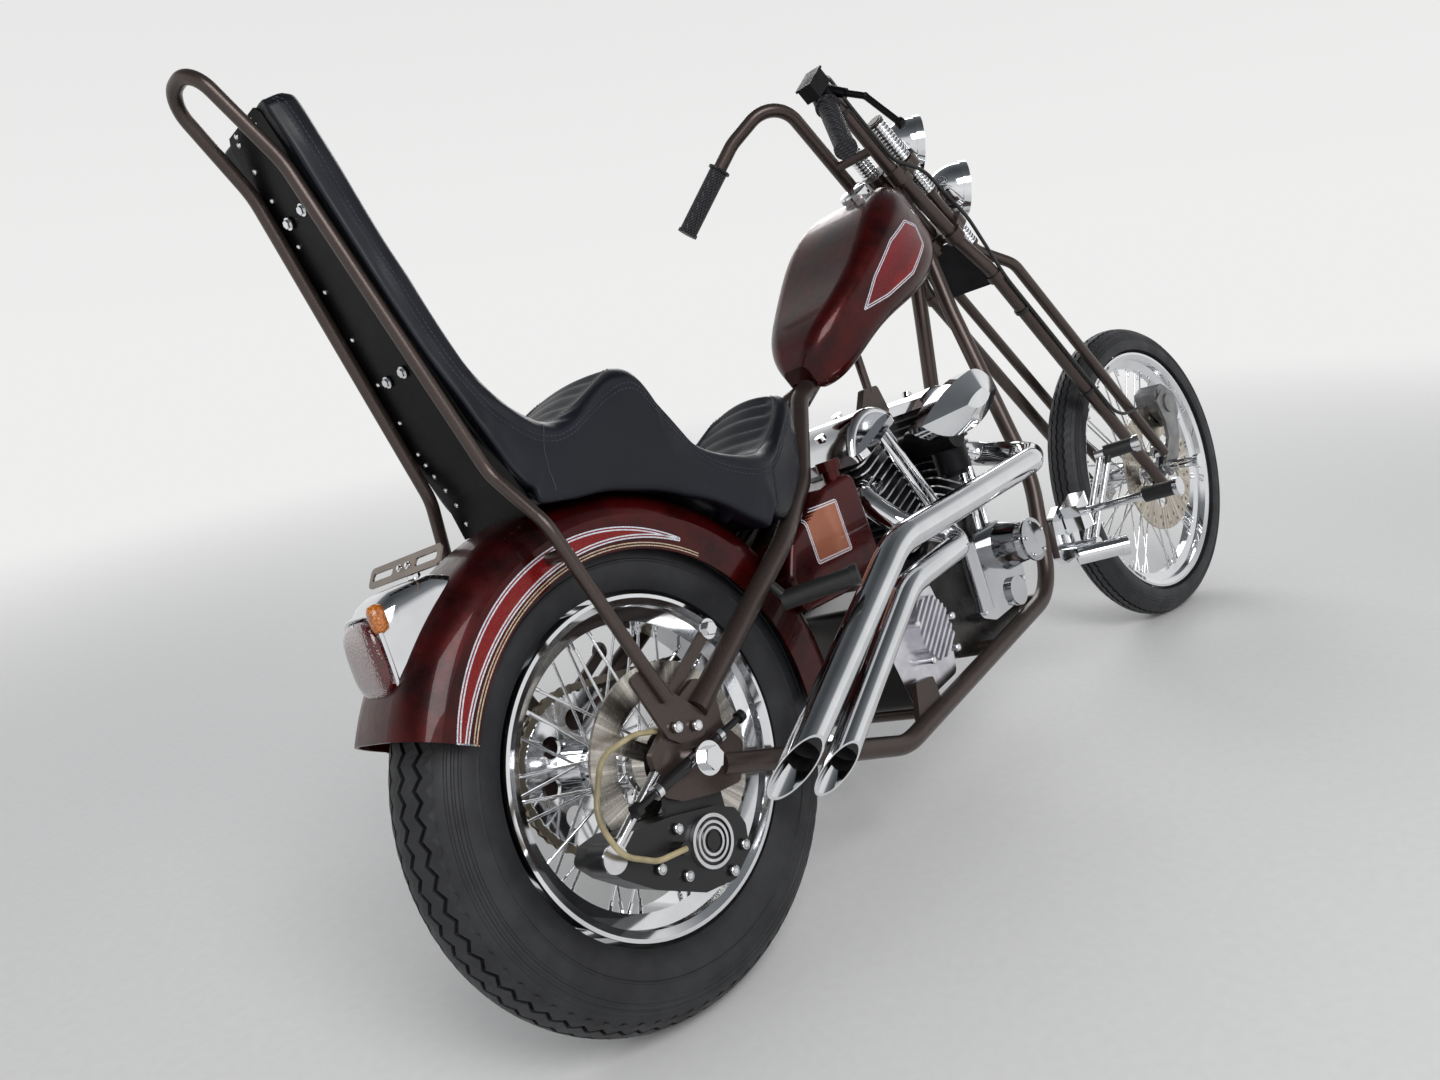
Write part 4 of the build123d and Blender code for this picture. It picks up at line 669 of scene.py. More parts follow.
def inset(points, distance):
    # The closed outline moved inward
    count = len(points)
    area = sum(x0 * y1 - x1 * y0 for (x0, y0), (x1, y1) in zip(points[-1:] + points, points))
    turn = 1 if area > 0 else -1
    out = []
    for i in range(count):
        a, p, b = Vector(points[i - 1]), Vector(points[i]), Vector(points[(i + 1) % count])
        d0, d1 = (p - a).normalized(), (b - p).normalized()
        n0, n1 = Vector((-d0.y, d0.x)) * turn, Vector((-d1.y, d1.x)) * turn
        m = (n0 + n1).normalized() if (n0 + n1).length > 1e-6 else n0
        out.append(tuple(p + m * distance / max(0.5, m.dot(n0))))
    return out


def patch(name, outline, place, step, material, body, lift):
    # A panel of paint over a surface: a fine grid inside an outline
    edge = dense(outline, step, True)
    xs, ys = [p[0] for p in edge], [p[1] for p in edge]
    points = [Vector(p) for p in edge]
    x = min(xs) + step
    while x < max(xs):
        y = min(ys) + step
        while y < max(ys):
            points.append(Vector((x, y)))
            y += step
        x += step
    count = len(edge)
    edges = [(i, (i + 1) % count) for i in range(count)]
    flat, _, faces, *_ = delaunay_2d_cdt(points, edges, [list(range(count))], 1, 1e-7)
    verts = []
    for p in flat:
        spot, normal = place(p.x, p.y)
        verts.append(spot + normal * lift * MM)
    return piece(name, verts, [tuple(f) for f in faces], material, body)


# Paint: a plain panel and lines on each side of the fender, tank and oil tank
FENDER_TREE = tree_of(NODES["rear_fender"])
TANK_TREE = tree_of(NODES["fuel_tank"])
OIL_TREE = tree_of(NODES["oil_tank"])
# Across the fender's edge: distance from the axle, half-width
FENDER_EDGE = [(272, 84), (318, 84), (334, 78), (348, 64), (355, 50), (358.5, 36), (360, 0)]


# Farther out than any painted side
OUTSIDE = 260


def on_side(tree, side, origin, along):
    # Places on a side: u along a line in the bike's middle plane, v square to it
    def place(u, v):
        x = origin[0] + along[0] * u - along[1] * v
        z = origin[1] + along[1] * u + along[0] * v
        start = bike(x, side * OUTSIDE, z)
        hit, normal, _, _ = tree.ray_cast(start, -BIKE_Y * side)
        if hit is None:
            hit, normal, _, _ = tree.find_nearest(bike(x, side * 90, z))
        return hit, normal if normal.dot(BIKE_Y * side) > 0 else -normal
    return place


def to_bike(p):
    d = p - REAR_AXLE
    return Vector((d.dot(BIKE_X), d.dot(BIKE_Y), d.dot(BIKE_Z))) / MM


SILVER, GOLD = Parts(), Parts()
TANK_RUN = Vector((488, 283)).normalized()
LINE_GAP, LINE_LIFT = 3.6, 0.55


def paint_shape(label, tree, origin, along, colour, outline, stripes):
    # One plain panel with a double line round it, and open double lines beside it
    for side in (-1, 1):
        place = on_side(tree, side, origin, along)
        tag = "right" if side < 0 else "left"
        spots = rounded(outline, 5)
        patch(f"{label}_panel_{tag}", spots, place, 4.0, colour, "motorcycle", 0.25)
        for gap in (0.0, LINE_GAP):
            line = dense(inset(spots, gap), 3.0, True)
            ribbon(SILVER, [place(*q) for q in line], 1.7, LINE_LIFT, True)
            for row in stripes:
                line = dense(beside(rounded(row, 8, False), gap), 3.0)
                ribbon(GOLD, [place(*q) for q in line], 1.5, LINE_LIFT)


def beside(points, gap):
    # The open line moved to its left
    out = []
    for i, p in enumerate(points):
        a, b = Vector(points[max(0, i - 1)]), Vector(points[min(len(points) - 1, i + 1)])
        run = (b - a).normalized() if (b - a).length else Vector((1, 0))
        out.append((p[0] - run.y * gap, p[1] + run.x * gap))
    return out


def middle_of(node):
    # The middle of a piece's box, seen from the side
    spots = [to_bike(node.matrix_world @ v.co) for v in node.data.vertices]
    return [(min(q[i] for q in spots) + max(q[i] for q in spots)) / 2 for i in (0, 2)]


def arch(radius, start, stop, count=36):
    # Places over the wheel, from one angle to another; the radius changes with the share of the way
    shares = [i / (count - 1) for i in range(count)]
    turns = [radians(start + (stop - start) * t) for t in shares]
    return [(radius(t) * cos(turn), radius(t) * sin(turn)) for t, turn in zip(shares, turns)]


def paint():
    # Colours by distance in metres along the given axes
    magenta = [
        (0.268, (0.22, 0.08, 0.02)),
        (0.280, (0.24, 0.03, 0.008)),
        (0.292, (0.20, 0.003, 0.004)),
        (0.312, (0.22, 0.002, 0.005)),
        (0.330, (0.05, 0.001, 0.003)),
        (0.344, (0.14, 0.003, 0.012)),
        (0.356, (0.04, 0.01, 0.03)),
    ]
    crimson = [
        (-0.02, (0.22, 0.003, 0.006)),
        (0.02, (0.12, 0.002, 0.006)),
        (0.06, (0.20, 0.003, 0.012)),
        (0.09, (0.07, 0.002, 0.01)),
        (0.12, (0.08, 0.012, 0.04)),
    ]
    tan = [(-0.06, (0.36, 0.12, 0.065)), (0.02, (0.44, 0.17, 0.095)), (0.09, (0.30, 0.05, 0.03))]
    fender = lined_look("fender_panel_colour", magenta, (BIKE_X, BIKE_Z), REAR_AXLE)
    tank = lined_look("tank_panel_colour", crimson, (bike_direction(-0.5, 0, 0.866),), bike(690, 0, 470))
    oil = lined_look("oil_tank_panel_colour", tan, (BIKE_X,), bike(400, 0, 160))
    crescent = arch(lambda t: 292 + 18 * sin(pi * t), 62, 168)
    crescent += arch(lambda t: 288 - 4 * sin(pi * t), 168, 62)
    paint_shape("fender", FENDER_TREE, (0, 0), (1, 0), fender, crescent, [arch(lambda t: 276, 175, 55)])
    drop = [(-120, 0), (-60, 24), (20, 40), (90, 36), (118, 8), (100, -24), (20, -34), (-60, -20)]
    paint_shape("tank", TANK_TREE, middle_of(NODES["fuel_tank"]), TANK_RUN, tank, drop, [])
    plain = [(-42, -40), (42, -40), (42, 40), (-42, 40)]
    paint_shape("oil_tank", OIL_TREE, middle_of(NODES["oil_tank"]), (1, 0), oil, plain, [])
    SILVER.make("silver_pinstripes", SILVER_LINE, "motorcycle", "flake_paint")
    GOLD.make("gold_pinstripes", GOLD_LINE, "motorcycle", "flake_paint")


paint()


def wheel_axes(body, left):
    # Ahead and up in the wheel's own plane
    ahead = BIKE_X if body == "rear_wheel" else (BIKE_X - left * left.dot(BIKE_X)).normalized()
    return ahead, ahead.cross(left).normalized()


# Tyres with their tread
def make_tyre(name, node, body, centre, left, outer, section, rim_r, tread, waves, amp, grooves, depth, ribs):
    ahead, up = wheel_axes(body, left)
    major = outer - section
    limit = pi - atan2(sqrt(section**2 - (major - rim_r - 6) ** 2), major - rim_r - 6)
    # Columns of the profile: distance along the arc from the middle, depth below it, share of the zigzag
    half = [(0.0, 0.0, 1.0)]
    wall, shoulder = 0.7, 1.2
    for at, width in grooves:
        low, high = at - width / 2, at + width / 2
        half += [(low - wall, 0.0, 1.0), (low, depth, 1.0), (high, depth, 1.0), (high + wall, 0.0, 1.0)]
    if grooves[0][0] == 0:
        width = grooves[0][1]
        half = [(0.0, depth, 1.0), (width / 2, depth, 1.0), (width / 2 + wall, 0.0, 1.0)] + half[5:]
    half += [(tread, 0.0, 1.0), (tread + 2, shoulder, 0.0)]
    end = limit * section
    at = tread + 5
    while at < end:
        ribbed = any(low < at < high for low, high in ribs)
        half.append((at, -0.2 if ribbed else shoulder, 0.0))
        at += 1.6
    half.append((end, 1.0, 0.0))
    columns = [(-t, d, w) for t, d, w in reversed(half) if t > 0] + half
    rows = waves * 4
    zigzag = (0.0, 1.0, 0.0, -1.0)
    verts = []
    for i in range(rows):
        a = 2 * pi * i / rows
        out = ahead * cos(a) + up * sin(a)
        for t, d, w in columns:
            f = (t + amp * zigzag[i % 4] * w) / section
            r = section - d
            verts.append(centre + (out * (major + r * cos(f)) + left * r * sin(f)) * MM)
    faces = quads(rows, len(columns), onward=True, flip=True)
    made = piece(name, verts, faces, TYRE, body, False)
    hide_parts(node)


def make_tyres():
    # After the wheel's axis: radii of tyre, section and rim, half-width of the tread, zigzags and
    # their reach, grooves as place and width, their depth, ribs on the wall as start and end
    make_tyre(
        "rear_tyre_tread", "rear_tyre", "rear_wheel", REAR_AXLE, BIKE_Y,
        330.0, 64.0, 218.0, 50.0, 74, 4.2, [(13.0, 5.0), (36.0, 4.4)], 6.5,
        [(66, 69), (74, 77), (82, 85), (104, 107)],
    )
    make_tyre(
        "front_tyre_tread", "front_tyre", "front_wheel", FRONT_AXLE, FORK_LEFT,
        342.0, 41.0, 279.0, 31.0, 92, 1.6, [(0.0, 3.6), (15.0, 3.6)], 4.5,
        [(42, 44), (48, 50), (54, 56)],
    )


make_tyres()


# Nipples where the spokes meet the rims and the hub, and a valve in each wheel
def wheel_details(name, body, centre, left, rim_r, spin):
    ahead, up = wheel_axes(body, left)
    store = Parts()
    floor_r = rim_r - 30.5
    count = 20
    step = 360 / count
    hub_r, hub_half = (30.0, 62.0) if body == "rear_wheel" else (24.0, 42.0)
    for side in (1, -1):
        for i in range(count):
            lead = 1 if i % 2 else -1
            base = step * i + (step / 4 if side > 0 else -step / 4)
            a0, a1 = radians(base - lead * spin), radians(base + lead * step / 4)
            start = (ahead * cos(a0) + up * sin(a0)) * (hub_r + 7)
            start += left * side * (hub_half - 22 + lead * 2.5)
            end = (ahead * cos(a1) + up * sin(a1)) * floor_r + left * side * 6
            run = (start - end).normalized()
            nipple = [(3.4, 0), (3.4, 5), (2.9, 6), (2.9, 15), (2.3, 16)]
            store.turned(centre + (end + run) * MM, run, nipple, 10)
            store.turned(centre + (start - run) * MM, run, [(2.8, 0), (3.6, 2), (2.6, 4)], 8)
    store.make(name, CHROME, body, "chrome")
    valve = Parts()
    out = -up * 0.6 + ahead * 0.8
    foot = centre + out * (floor_r - 2) * MM
    valve.turned(foot, -out, [(5, 0), (4, 8), (3, 10), (3, 26), (3.8, 26), (3.8, 34)], 14)
    valve.make(name + "_valve", RUBBER, body, "rubber")


wheel_details("rear_spoke_nipples", "rear_wheel", REAR_AXLE, BIKE_Y, 218.0, 40.0)
wheel_details("front_spoke_nipples", "front_wheel", FRONT_AXLE, FORK_LEFT, 279.0, 40.0)


# Drive chain, link by link
CHAIN_Y, CHAIN_PITCH = 91.5, 15.875


def spoke(turn):
    return Vector((cos(turn), sin(turn)))


def chain_pins(rear_r, drive_r, drive):
    # Evenly spaced places on the loop round both sprockets, seen from the side
    length = drive.length
    tilt = atan2(drive.y, drive.x)
    lift = atan2((rear_r - drive_r) / length, sqrt(1 - ((rear_r - drive_r) / length) ** 2))
    top, low = tilt + pi / 2 - lift, tilt - pi / 2 + lift
    straight = sqrt(length**2 - (rear_r - drive_r) ** 2)
    drive_arc = (top - low) * drive_r
    rear_arc = (2 * pi - (top - low)) * rear_r
    total = 2 * straight + drive_arc + rear_arc
    count = 2 * round(total / CHAIN_PITCH / 2)

    def at(s):
        s %= total
        if s < straight:
            return (spoke(top) * rear_r).lerp(drive + spoke(top) * drive_r, s / straight)
        s -= straight
        if s < drive_arc:
            return drive + spoke(top - s / drive_r) * drive_r
        s -= drive_arc
        if s < straight:
            return (drive + spoke(low) * drive_r).lerp(spoke(low) * rear_r, s / straight)
        s -= straight
        return spoke(low - s / rear_r) * rear_r

    return [at(total * i / count) for i in range(count)]


def make_chain():
    pins = chain_pins(111.6, 50.4, Vector((505.0, -10.0)))
    store = Parts()
    for i, p in enumerate(pins):
        q = pins[(i + 1) % len(pins)]
        run = (q - p).normalized()
        side = Vector((-run.y, run.x))
        outline = []
        for end, start, waist in ((p, pi / 2, -4.0), (q, -pi / 2, 4.0)):
            turns = [start + pi * k / 8 for k in range(9)]
            outline += [end + (run * cos(a) + side * sin(a)) * 5.6 for a in turns]
            outline.append((p + q) / 2 + side * waist)
        n = len(outline)
        faces = [tuple(range(n)), tuple(range(2 * n - 1, n - 1, -1))] + quads(2, n)
        reach = (3.4, 4.8) if i % 2 else (4.9, 6.1)
        for y in (1, -1):
            store.add([bike(o.x, CHAIN_Y + y * far, o.y) for far in reach for o in outline], faces)
        # The pin and the roller: radius, half-length
        for r, half, sides in ((2.2, 6.4, 8), (4.6, 3.3, 12)):
            store.turned(bike(p.x, CHAIN_Y - half, p.y), BIKE_Y, [(r, 0), (r, 2 * half)], sides)
    made = store.make("chain_links", CHAIN, "motorcycle", "steel")
    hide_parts("drive_chain")
    teeth, count = Parts(), 44
    flank = [(102, 6.4), (106, 3.6), (110.5, 1.6)]
    for i in range(count):
        out = spoke(2 * pi * i / count)
        turn = Vector((-out.y, out.x))
        shape = [out * r + turn * w for r, w in flank] + [out * r - turn * w for r, w in flank[::-1]]
        verts = [bike(p.x, y, p.y) for y in (CHAIN_Y - 2.3, CHAIN_Y + 2.3) for p in shape]
        teeth.add(verts, capped(2, len(shape)))
    teeth.make("sprocket_teeth", CHROME, "rear_wheel", "chrome")


make_chain()


# Seat and backrest: one stretched cover, lofted down the back and out to the nose
# Columns: front or top edge x and z, back or bottom x and z, half-width
COVER = [
    (-178, 880, -206, 874, 60),
    (-168, 874, -213, 862, 67),
    (-147, 800, -196, 802, 68),
    (-129, 720, -176, 724, 69),
    (-106, 637, -155, 640, 71),
    (-82, 545, -131, 552, 75),
    (-62, 500, -114, 500, 81),
    (-38, 470, -96, 440, 88),
    (-8, 452, -70, 378, 93),
    (24, 456, -16, 367, 96),
    (84, 487, 50, 364, 99),
    (118, 498, 98, 353, 102),
    (143, 486, 128, 343, 104),
    (166, 436, 158, 330, 107),
    (202, 372, 200, 307, 118),
    (285, 334, 262, 258, 131),
    (342, 344, 318, 232, 118),
    (400, 386, 384, 268, 102),
    (436, 410, 424, 298, 84),
    (458, 398, 448, 324, 64),
    (465, 372, 458, 346, 50),
]


def through(rows, t):
    # A smooth line through the rows
    i = min(int(t), len(rows) - 2)
    f = t - i
    p0, p1, p2, p3 = (rows[max(0, min(len(rows) - 1, i + k))] for k in (-1, 0, 1, 2))
    out = []
    for a, b, c, d in zip(p0, p1, p2, p3):
        out.append(b + 0.5 * f * (c - a + f * (2 * a - 5 * b + 4 * c - d + f * (3 * (b - c) + d - a))))
    return out


def cover_rows(step):
    fine = [through(COVER, t / 40) for t in range(40 * (len(COVER) - 1) + 1)]
    rows, run, due = [], 0.0, 0.0
    for i, row in enumerate(fine):
        if i:
            run += hypot(row[0] - fine[i - 1][0], row[1] - fine[i - 1][1])
        if run >= due or i == len(fine) - 1:
            rows.append((row, run))
            due += step
    return rows


def fender_drop(y):
    # How far the fender lies below its crown at a distance from the middle
    crown = FENDER_EDGE[-1][0]
    for (r0, w0), (r1, w1) in zip(FENDER_EDGE, FENDER_EDGE[1:]):
        if w1 <= y <= w0:
            return crown - (r0 + (r1 - r0) * (w0 - y) / max(1e-6, w0 - w1))
    return 42.0


# The pleats' pitch, and the most that the cloth pass may move a point, in metres
PLEAT, CLOTH_CAP = 27.0, 0.004


def cover_section(row, run, total):
    tx, tz, bx, bz, half = row
    top, low = Vector((tx, tz)), Vector((bx, bz))
    depth = (top - low).length
    up = (top - low).normalized()
    ends = min(1.0, min(run, total - run) / 26 + 0.35)
    corner = min(15.0 + 9.0 * max(0, min(1, (tx + 60) / 60)), depth * 0.45, half * 0.5)
    spots = []
    # How many faces the top, each rounded edge, each side and the bottom have across
    middle, per, high, under = 22, 9, 8, 12
    # Over the top from the left edge to the right, then round the bottom
    for i in range(middle + 1):
        y = (half - corner) * (1 - 2 * i / middle)
        spots.append((y, depth, "top"))
    for i in range(1, per):
        a = pi / 2 * i / per
        spots.append((-(half - corner) - corner * sin(a), depth - corner + corner * cos(a), "edge"))
    for i in range(high):
        spots.append((-half, (depth - corner) * (1 - i / high), "side"))
    for i in range(under + 1):
        spots.append((-half + 2 * half * i / under, 0.0, "bottom"))
    for i in range(1, high + 1):
        spots.append((half, (depth - corner) * i / high, "side"))
    for i in range(1, per):
        a = pi / 2 * (1 - i / per)
        spots.append(((half - corner) + corner * sin(a), depth - corner + corner * cos(a), "edge"))
    out = []
    phase = run / PLEAT
    for y, v, kind in spots:
        share = v / depth
        swell = 5.0 * sin(pi * min(1, max(0, share))) if kind in ("side", "edge") else 0.0
        width = y + (swell if y > 0 else -swell) * min(1, abs(y) / half) ** 3
        lift = 0.0
        if kind == "top":
            inner = half - corner
            lift = 9.0 * (1 - (y / inner) ** 2)
            sewn = max(0.0, min(1.0, (inner - 4 - abs(y)) / 7))
            lift += sewn * (5.5 * abs(sin(pi * phase)) ** 0.6 - 5.0)
        if kind in ("bottom", "side") and -60 < bx < 280:
            lift -= max(0.0, fender_drop(abs(y)) - 6) * 0.62 * (1 - share) ** 2
        p = low + up * (v + lift * ends)
        out.append((p.x, width * (0.9 + 0.1 * ends), p.y))
    return out


def make_cover():
    rows = cover_rows(4.2)
    total = rows[-1][1]
    verts = []
    for row, run in rows:
        section = cover_section(row, run, total)
        for x, y, z in section:
            p = Vector((x, y, z))
            ripple = noise.noise(p * 0.016) * 1.6
            verts.append(bike(x, y + (ripple if y > 0 else -ripple) * min(1, abs(y) / 80), z + ripple * 0.5))
    count, wide = len(rows), len(section)
    faces = quads(count, wide, flip=True)
    faces += [tuple(range(wide)), tuple(range((count - 1) * wide, count * wide))[::-1]]
    cover = piece("seat_leather", verts, faces, LEATHER, "motorcycle")
    swell(cover)
    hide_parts("seat", "backrest_pad")
    return cover


def apply_all(made):
    deps = bpy.context.evaluated_depsgraph_get()
    deps.update()
    mesh = bpy.data.meshes.new_from_object(made.evaluated_get(deps))
    old = made.data
    made.modifiers.clear()
    made.data = mesh
    bpy.data.meshes.remove(old)


def swell(made):
    # The stuffing presses the leather outward a little, then the mesh is made finer
    start = [v.co.copy() for v in made.data.vertices]
    cloth = made.modifiers.new("cloth", "CLOTH")
    cloth.settings.use_pressure = True
    cloth.settings.uniform_pressure_force = 2.0
    cloth.settings.effector_weights.gravity = 0
    cloth.settings.quality = 4
    for step in range(1, 13):
        bpy.context.scene.frame_set(step)
    apply_all(made)
    bpy.context.scene.frame_set(1)
    for v, origin in zip(made.data.vertices, start):
        move = v.co - origin
        if move.length > CLOTH_CAP:
            v.co = origin + move.normalized() * CLOTH_CAP
    sub = made.modifiers.new("sub", "SUBSURF")
    sub.levels = 1
    apply_all(made)
    made.data.shade_smooth()


SEAT = make_cover()


def make_board():
    # The black board behind the back, from the bar's bend down to the fender
    # Columns: x, z, half-width
    rows = [
        (-70, 348, 82), (-80, 400, 80), (-100, 440, 76), (-111.5, 470, 74), (-137, 570, 66),
        (-167, 690, 58), (-195, 800, 51), (-211, 862, 47), (-213, 872, 38),
    ]
    wide = 16
    verts = []
    for x, z, half in rows:
        line = [half * (1 - 2 * i / wide) for i in range(wide + 1)]
        verts += [bike(x, y, z) for y in line] + [bike(x + 3.6, y, z) for y in line[::-1]]
    faces = capped(len(rows), 2 * len(line))
    board = piece("back_board", verts, faces, BOARD, "motorcycle", False)
    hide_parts("backrest_board")
    store = Parts()
    behind = bike_direction(-0.97, 0, -0.24)
    for side in (1, -1):
        for i in range(15):
            t = 0.35 + (len(rows) - 1.9) * i / 14
            k = int(t)
            f = t - k
            x, z, half = (a * (1 - f) + b * f for a, b in zip(rows[k], rows[k + 1]))
            store.dome_stud(bike(x, side * (half - 22), z), behind, 3.4)
    for x, z in ((-133, 556), (-185, 760)):
        for side in (1, -1):
            store.hex_bolt(bike(x - 3, side * 20, z), behind, 5.5, 5)
    store.make("board_studs", CHROME, "motorcycle", "chrome")


make_board()


def stitches(store, spots, pitch, length):
    # Short threads along a seam, each a little hump
    total = 0.0
    for (p, n), (q, _) in zip(spots, spots[1:]):
        run = (q - p).length
        while total <= run:
            at = p.lerp(q, total / run) + n * 0.5 * MM
            along = (q - p).normalized() * length * MM / 2
            side = n.cross(along).normalized() * 0.7 * MM
            top = n * 0.7 * MM
            verts = [at - along - side, at - along + side, at - along * 0.4 + top]
            verts += [at + along * 0.4 + top, at + along - side, at + along + side]
            faces = [(0, 1, 2), (0, 2, 3, 4), (1, 5, 3, 2), (4, 3, 5), (0, 4, 5, 1)]
            store.add(verts, faces)
            total += pitch * MM
        total -= run


def sew():
    # Two rows of thread beside each edge of the top, and one seam across each side
    seat_tree = tree_of(SEAT)
    threads = Parts()
    fine = [through(COVER, t / 8) for t in range(6, 8 * (len(COVER) - 1) - 5)]
    for side in (-1, 1):
        for inward, down in ((0.0, 26.0), (0.0, 33.0), (27.0, -12.0)):
            spots = []
            for tx, tz, bx, bz, half in fine:
                up = Vector((tx - bx, tz - bz)).normalized()
                x, z = tx - up.x * down, tz - up.y * down
                rough = bike(x, side * (half + 4 - inward), z)
                hit, normal, _, _ = seat_tree.find_nearest(rough)
                out = BIKE_Y * side if down > 0 else bike_direction(up.x, 0, up.y)
                spots.append((hit, normal if normal.dot(out) > 0 else -normal))
            stitches(threads, spots, 6, 4.2)
        seam = [(-22, 446), (-34, 416), (-38, 392), (-36, 366)]
        place = on_side(seat_tree, side, (0, 0), (1, 0))
        spots = [place(x, z) for x, z in dense(seam, 5)]
        stitches(threads, spots, 6, 4.4)
        ribbon(threads, spots, 1.2, 0.3)
    threads.make("leather_stitching", THREAD, "motorcycle", "leather")


sew()


# Fasteners
def fasten():
    right = -BIKE_Y
    bolts = Parts()
    # On the right; columns: x, y, z, radius, height
    for x, y, z, r, h in (
        (608, -122, -16, 6, 5), (596, -122, -66, 6, 5), (524, -122, -62, 6, 5), (514, -122, 2, 6, 5),
        (-104, -132, -92, 6.4, 3.4), (-70, -132, -118, 6.4, 3.4), (-2, -132, -146, 6.4, 3.4),
        (28, -132, -126, 6.4, 3.4), (-62, -132, -62, 6.4, 3.4),
    ):
        bolts.socket_bolt(bike(x, y, z), right, r, h)
    # On both sides
    for put, x, y, z, r, h in (
        (bolts.socket_bolt, -17, 138, 48, 7, 4), (bolts.socket_bolt, 13, 138, 38, 7, 4),
        (bolts.hex_bolt, 100, 118, 137, 10, 9), (bolts.hex_bolt, -72, 120, 290, 7, 6),
    ):
        for side in (1, -1):
            put(bike(x, side * y, z), BIKE_Y * side, r, h)
    for x, z in ((712, -44), (700, 14), (738, 70), (866, 58), (858, -26), (800, -54)):
        bolts.socket_bolt(bike(x, -116, z), right, 5, 5)
    for i in range(5):
        a = radians(72 * i + 20)
        bolts.socket_bolt(bike(838 + 30 * cos(a), -177.5, 41 + 30 * sin(a)), right, 3.0, 2.5)
    bolts.make("case_bolts", CHROME, "motorcycle", "chrome")


fasten()


# The tail lamp's tapered shell, lens, rims and amber marker
def blunt_section(x, low, high, half, power=4.5, middle=0.0, sides=48):
    ring = []
    for i in range(sides):
        a = 2 * pi * i / sides
        c, s = cos(a), sin(a)
        y = half * abs(c) ** (2 / power) * (1 if c > 0 else -1)
        z = (high - low) / 2 * abs(s) ** (2 / power) * (1 if s > 0 else -1)
        ring.append(bike(x, middle + y, (low + high) / 2 + z))
    return ring


def skin(name, rings, material):
    count, last = len(rings[0]), (len(rings) - 1) * len(rings[0])
    verts = [p for ring in rings for p in ring]
    faces = [tuple(range(count))[::-1], tuple(last + i for i in range(count))] + quads(len(rings), count)
    return piece(name, verts, faces, material, "motorcycle")


def make_tail_lamp():
    # Columns: x, lowest, highest, half-width
    rows = [
        (-285, 206, 290, 36), (-281, 200, 298, 40), (-270, 195, 310, 43.5), (-255, 192, 317, 45),
        (-230, 203, 320, 46), (-205, 218, 322, 46), (-185, 232, 317, 45), (-168, 247, 308, 43),
        (-152, 272, 294, 40),
    ]
    shell = skin("lamp_shell", [blunt_section(*row) for row in rows], CHROME)
    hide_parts("tail_lamp")
    rows = [
        (-284, 203, 295, 37), (-292, 204, 293, 36), (-297, 209, 287, 33), (-300, 220, 275, 26),
        (-301, 238, 258, 12),
    ]
    lens = skin("lamp_lens", [blunt_section(*row, 3.2) for row in rows], RED_LENS)
    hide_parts("tail_lamp_lens")
    rim = Parts()
    rim.loop(blunt_section(-284, 200, 298, 40), 2.6)
    rim.loop(blunt_section(-162, 248, 303, 43), 2.2)
    for z in (206, 290):
        rim.dome_stud(bike(-291, 0, z), -BIKE_X, 4)
    rim.make("lamp_rims", CHROME, "motorcycle", "chrome", True)
    rows = [
        (-291, 280, 302, 4), (-289, 276, 306, 7), (-281, 274, 308, 8.5), (-274, 276, 306, 7),
        (-272, 282, 300, 3),
    ]
    skin("lamp_marker", [blunt_section(*row, 2.4, -39) for row in rows], AMBER_LENS)


make_tail_lamp()


def make_bracket():
    # A bent strip with two long slots, screwed to a post on the lamp
    outline = rounded([(-88, -13), (88, -13), (88, 13), (-88, 13)], 8)
    slots = [rounded([(c - 26, -5), (c + 26, -5), (c + 26, 5), (c - 26, 5)], 5) for c in (-54, 54)]
    rings = [outline] + slots
    points, edges = [], []
    for ring in rings:
        base = len(points)
        points += [Vector(p) for p in ring]
        edges += [(base + i, base + (i + 1) % len(ring)) for i in range(len(ring))]
    flat, _, faces, *_ = delaunay_2d_cdt(points, edges, [], 0, 1e-6)

    def inside(ring, p):
        hit = False
        for (x0, y0), (x1, y1) in zip(ring, ring[1:] + ring[:1]):
            if (y0 > p.y) != (y1 > p.y) and p.x < x0 + (p.y - y0) * (x1 - x0) / (y1 - y0):
                hit = not hit
        return hit

    kept = []
    for face in faces:
        middle = sum((flat[i] for i in face), Vector((0, 0))) / len(face)
        if inside(outline, middle) and not any(inside(slot, middle) for slot in slots):
            kept.append(tuple(face))
    tilt, thick = radians(58), 2.6
    mid_x, mid_z = -208, 336

    def at(p, out):
        x, z = -out * sin(tilt) + p.y * cos(tilt), p.y * sin(tilt) + out * cos(tilt)
        return bike(mid_x + x, p.x, mid_z + z)

    n = len(flat)
    verts = [at(p, out) for out in (0.0, thick) for p in flat]
    solid = kept + [tuple(i + n for i in face[::-1]) for face in kept]
    index = {(round(p.x, 2), round(p.y, 2)): i for i, p in enumerate(flat)}
    for ring in rings:
        ids = [index[(round(x, 2), round(y, 2))] for x, y in ring]
        solid += [(a, b, b + n, a + n) for a, b in zip(ids, ids[1:] + ids[:1])]
    strip = piece("slotted_bracket", verts, solid, STEEL_BROWN, "motorcycle", False)
    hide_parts("plate_bracket")
    store = Parts()
    away = bike_direction(-sin(tilt), 0, cos(tilt))
    for y in (-10, 10):
        store.hex_bolt(bike(mid_x, y, mid_z) + away * thick * MM, away, 3.4, 3)
    store.turned(bike(-202, 0, 300), BIKE_Z, [(8, 0), (8, 34), (6, 35)], 20)
    store.make("bracket_bolts", CHROME, "motorcycle", "chrome")


make_bracket()


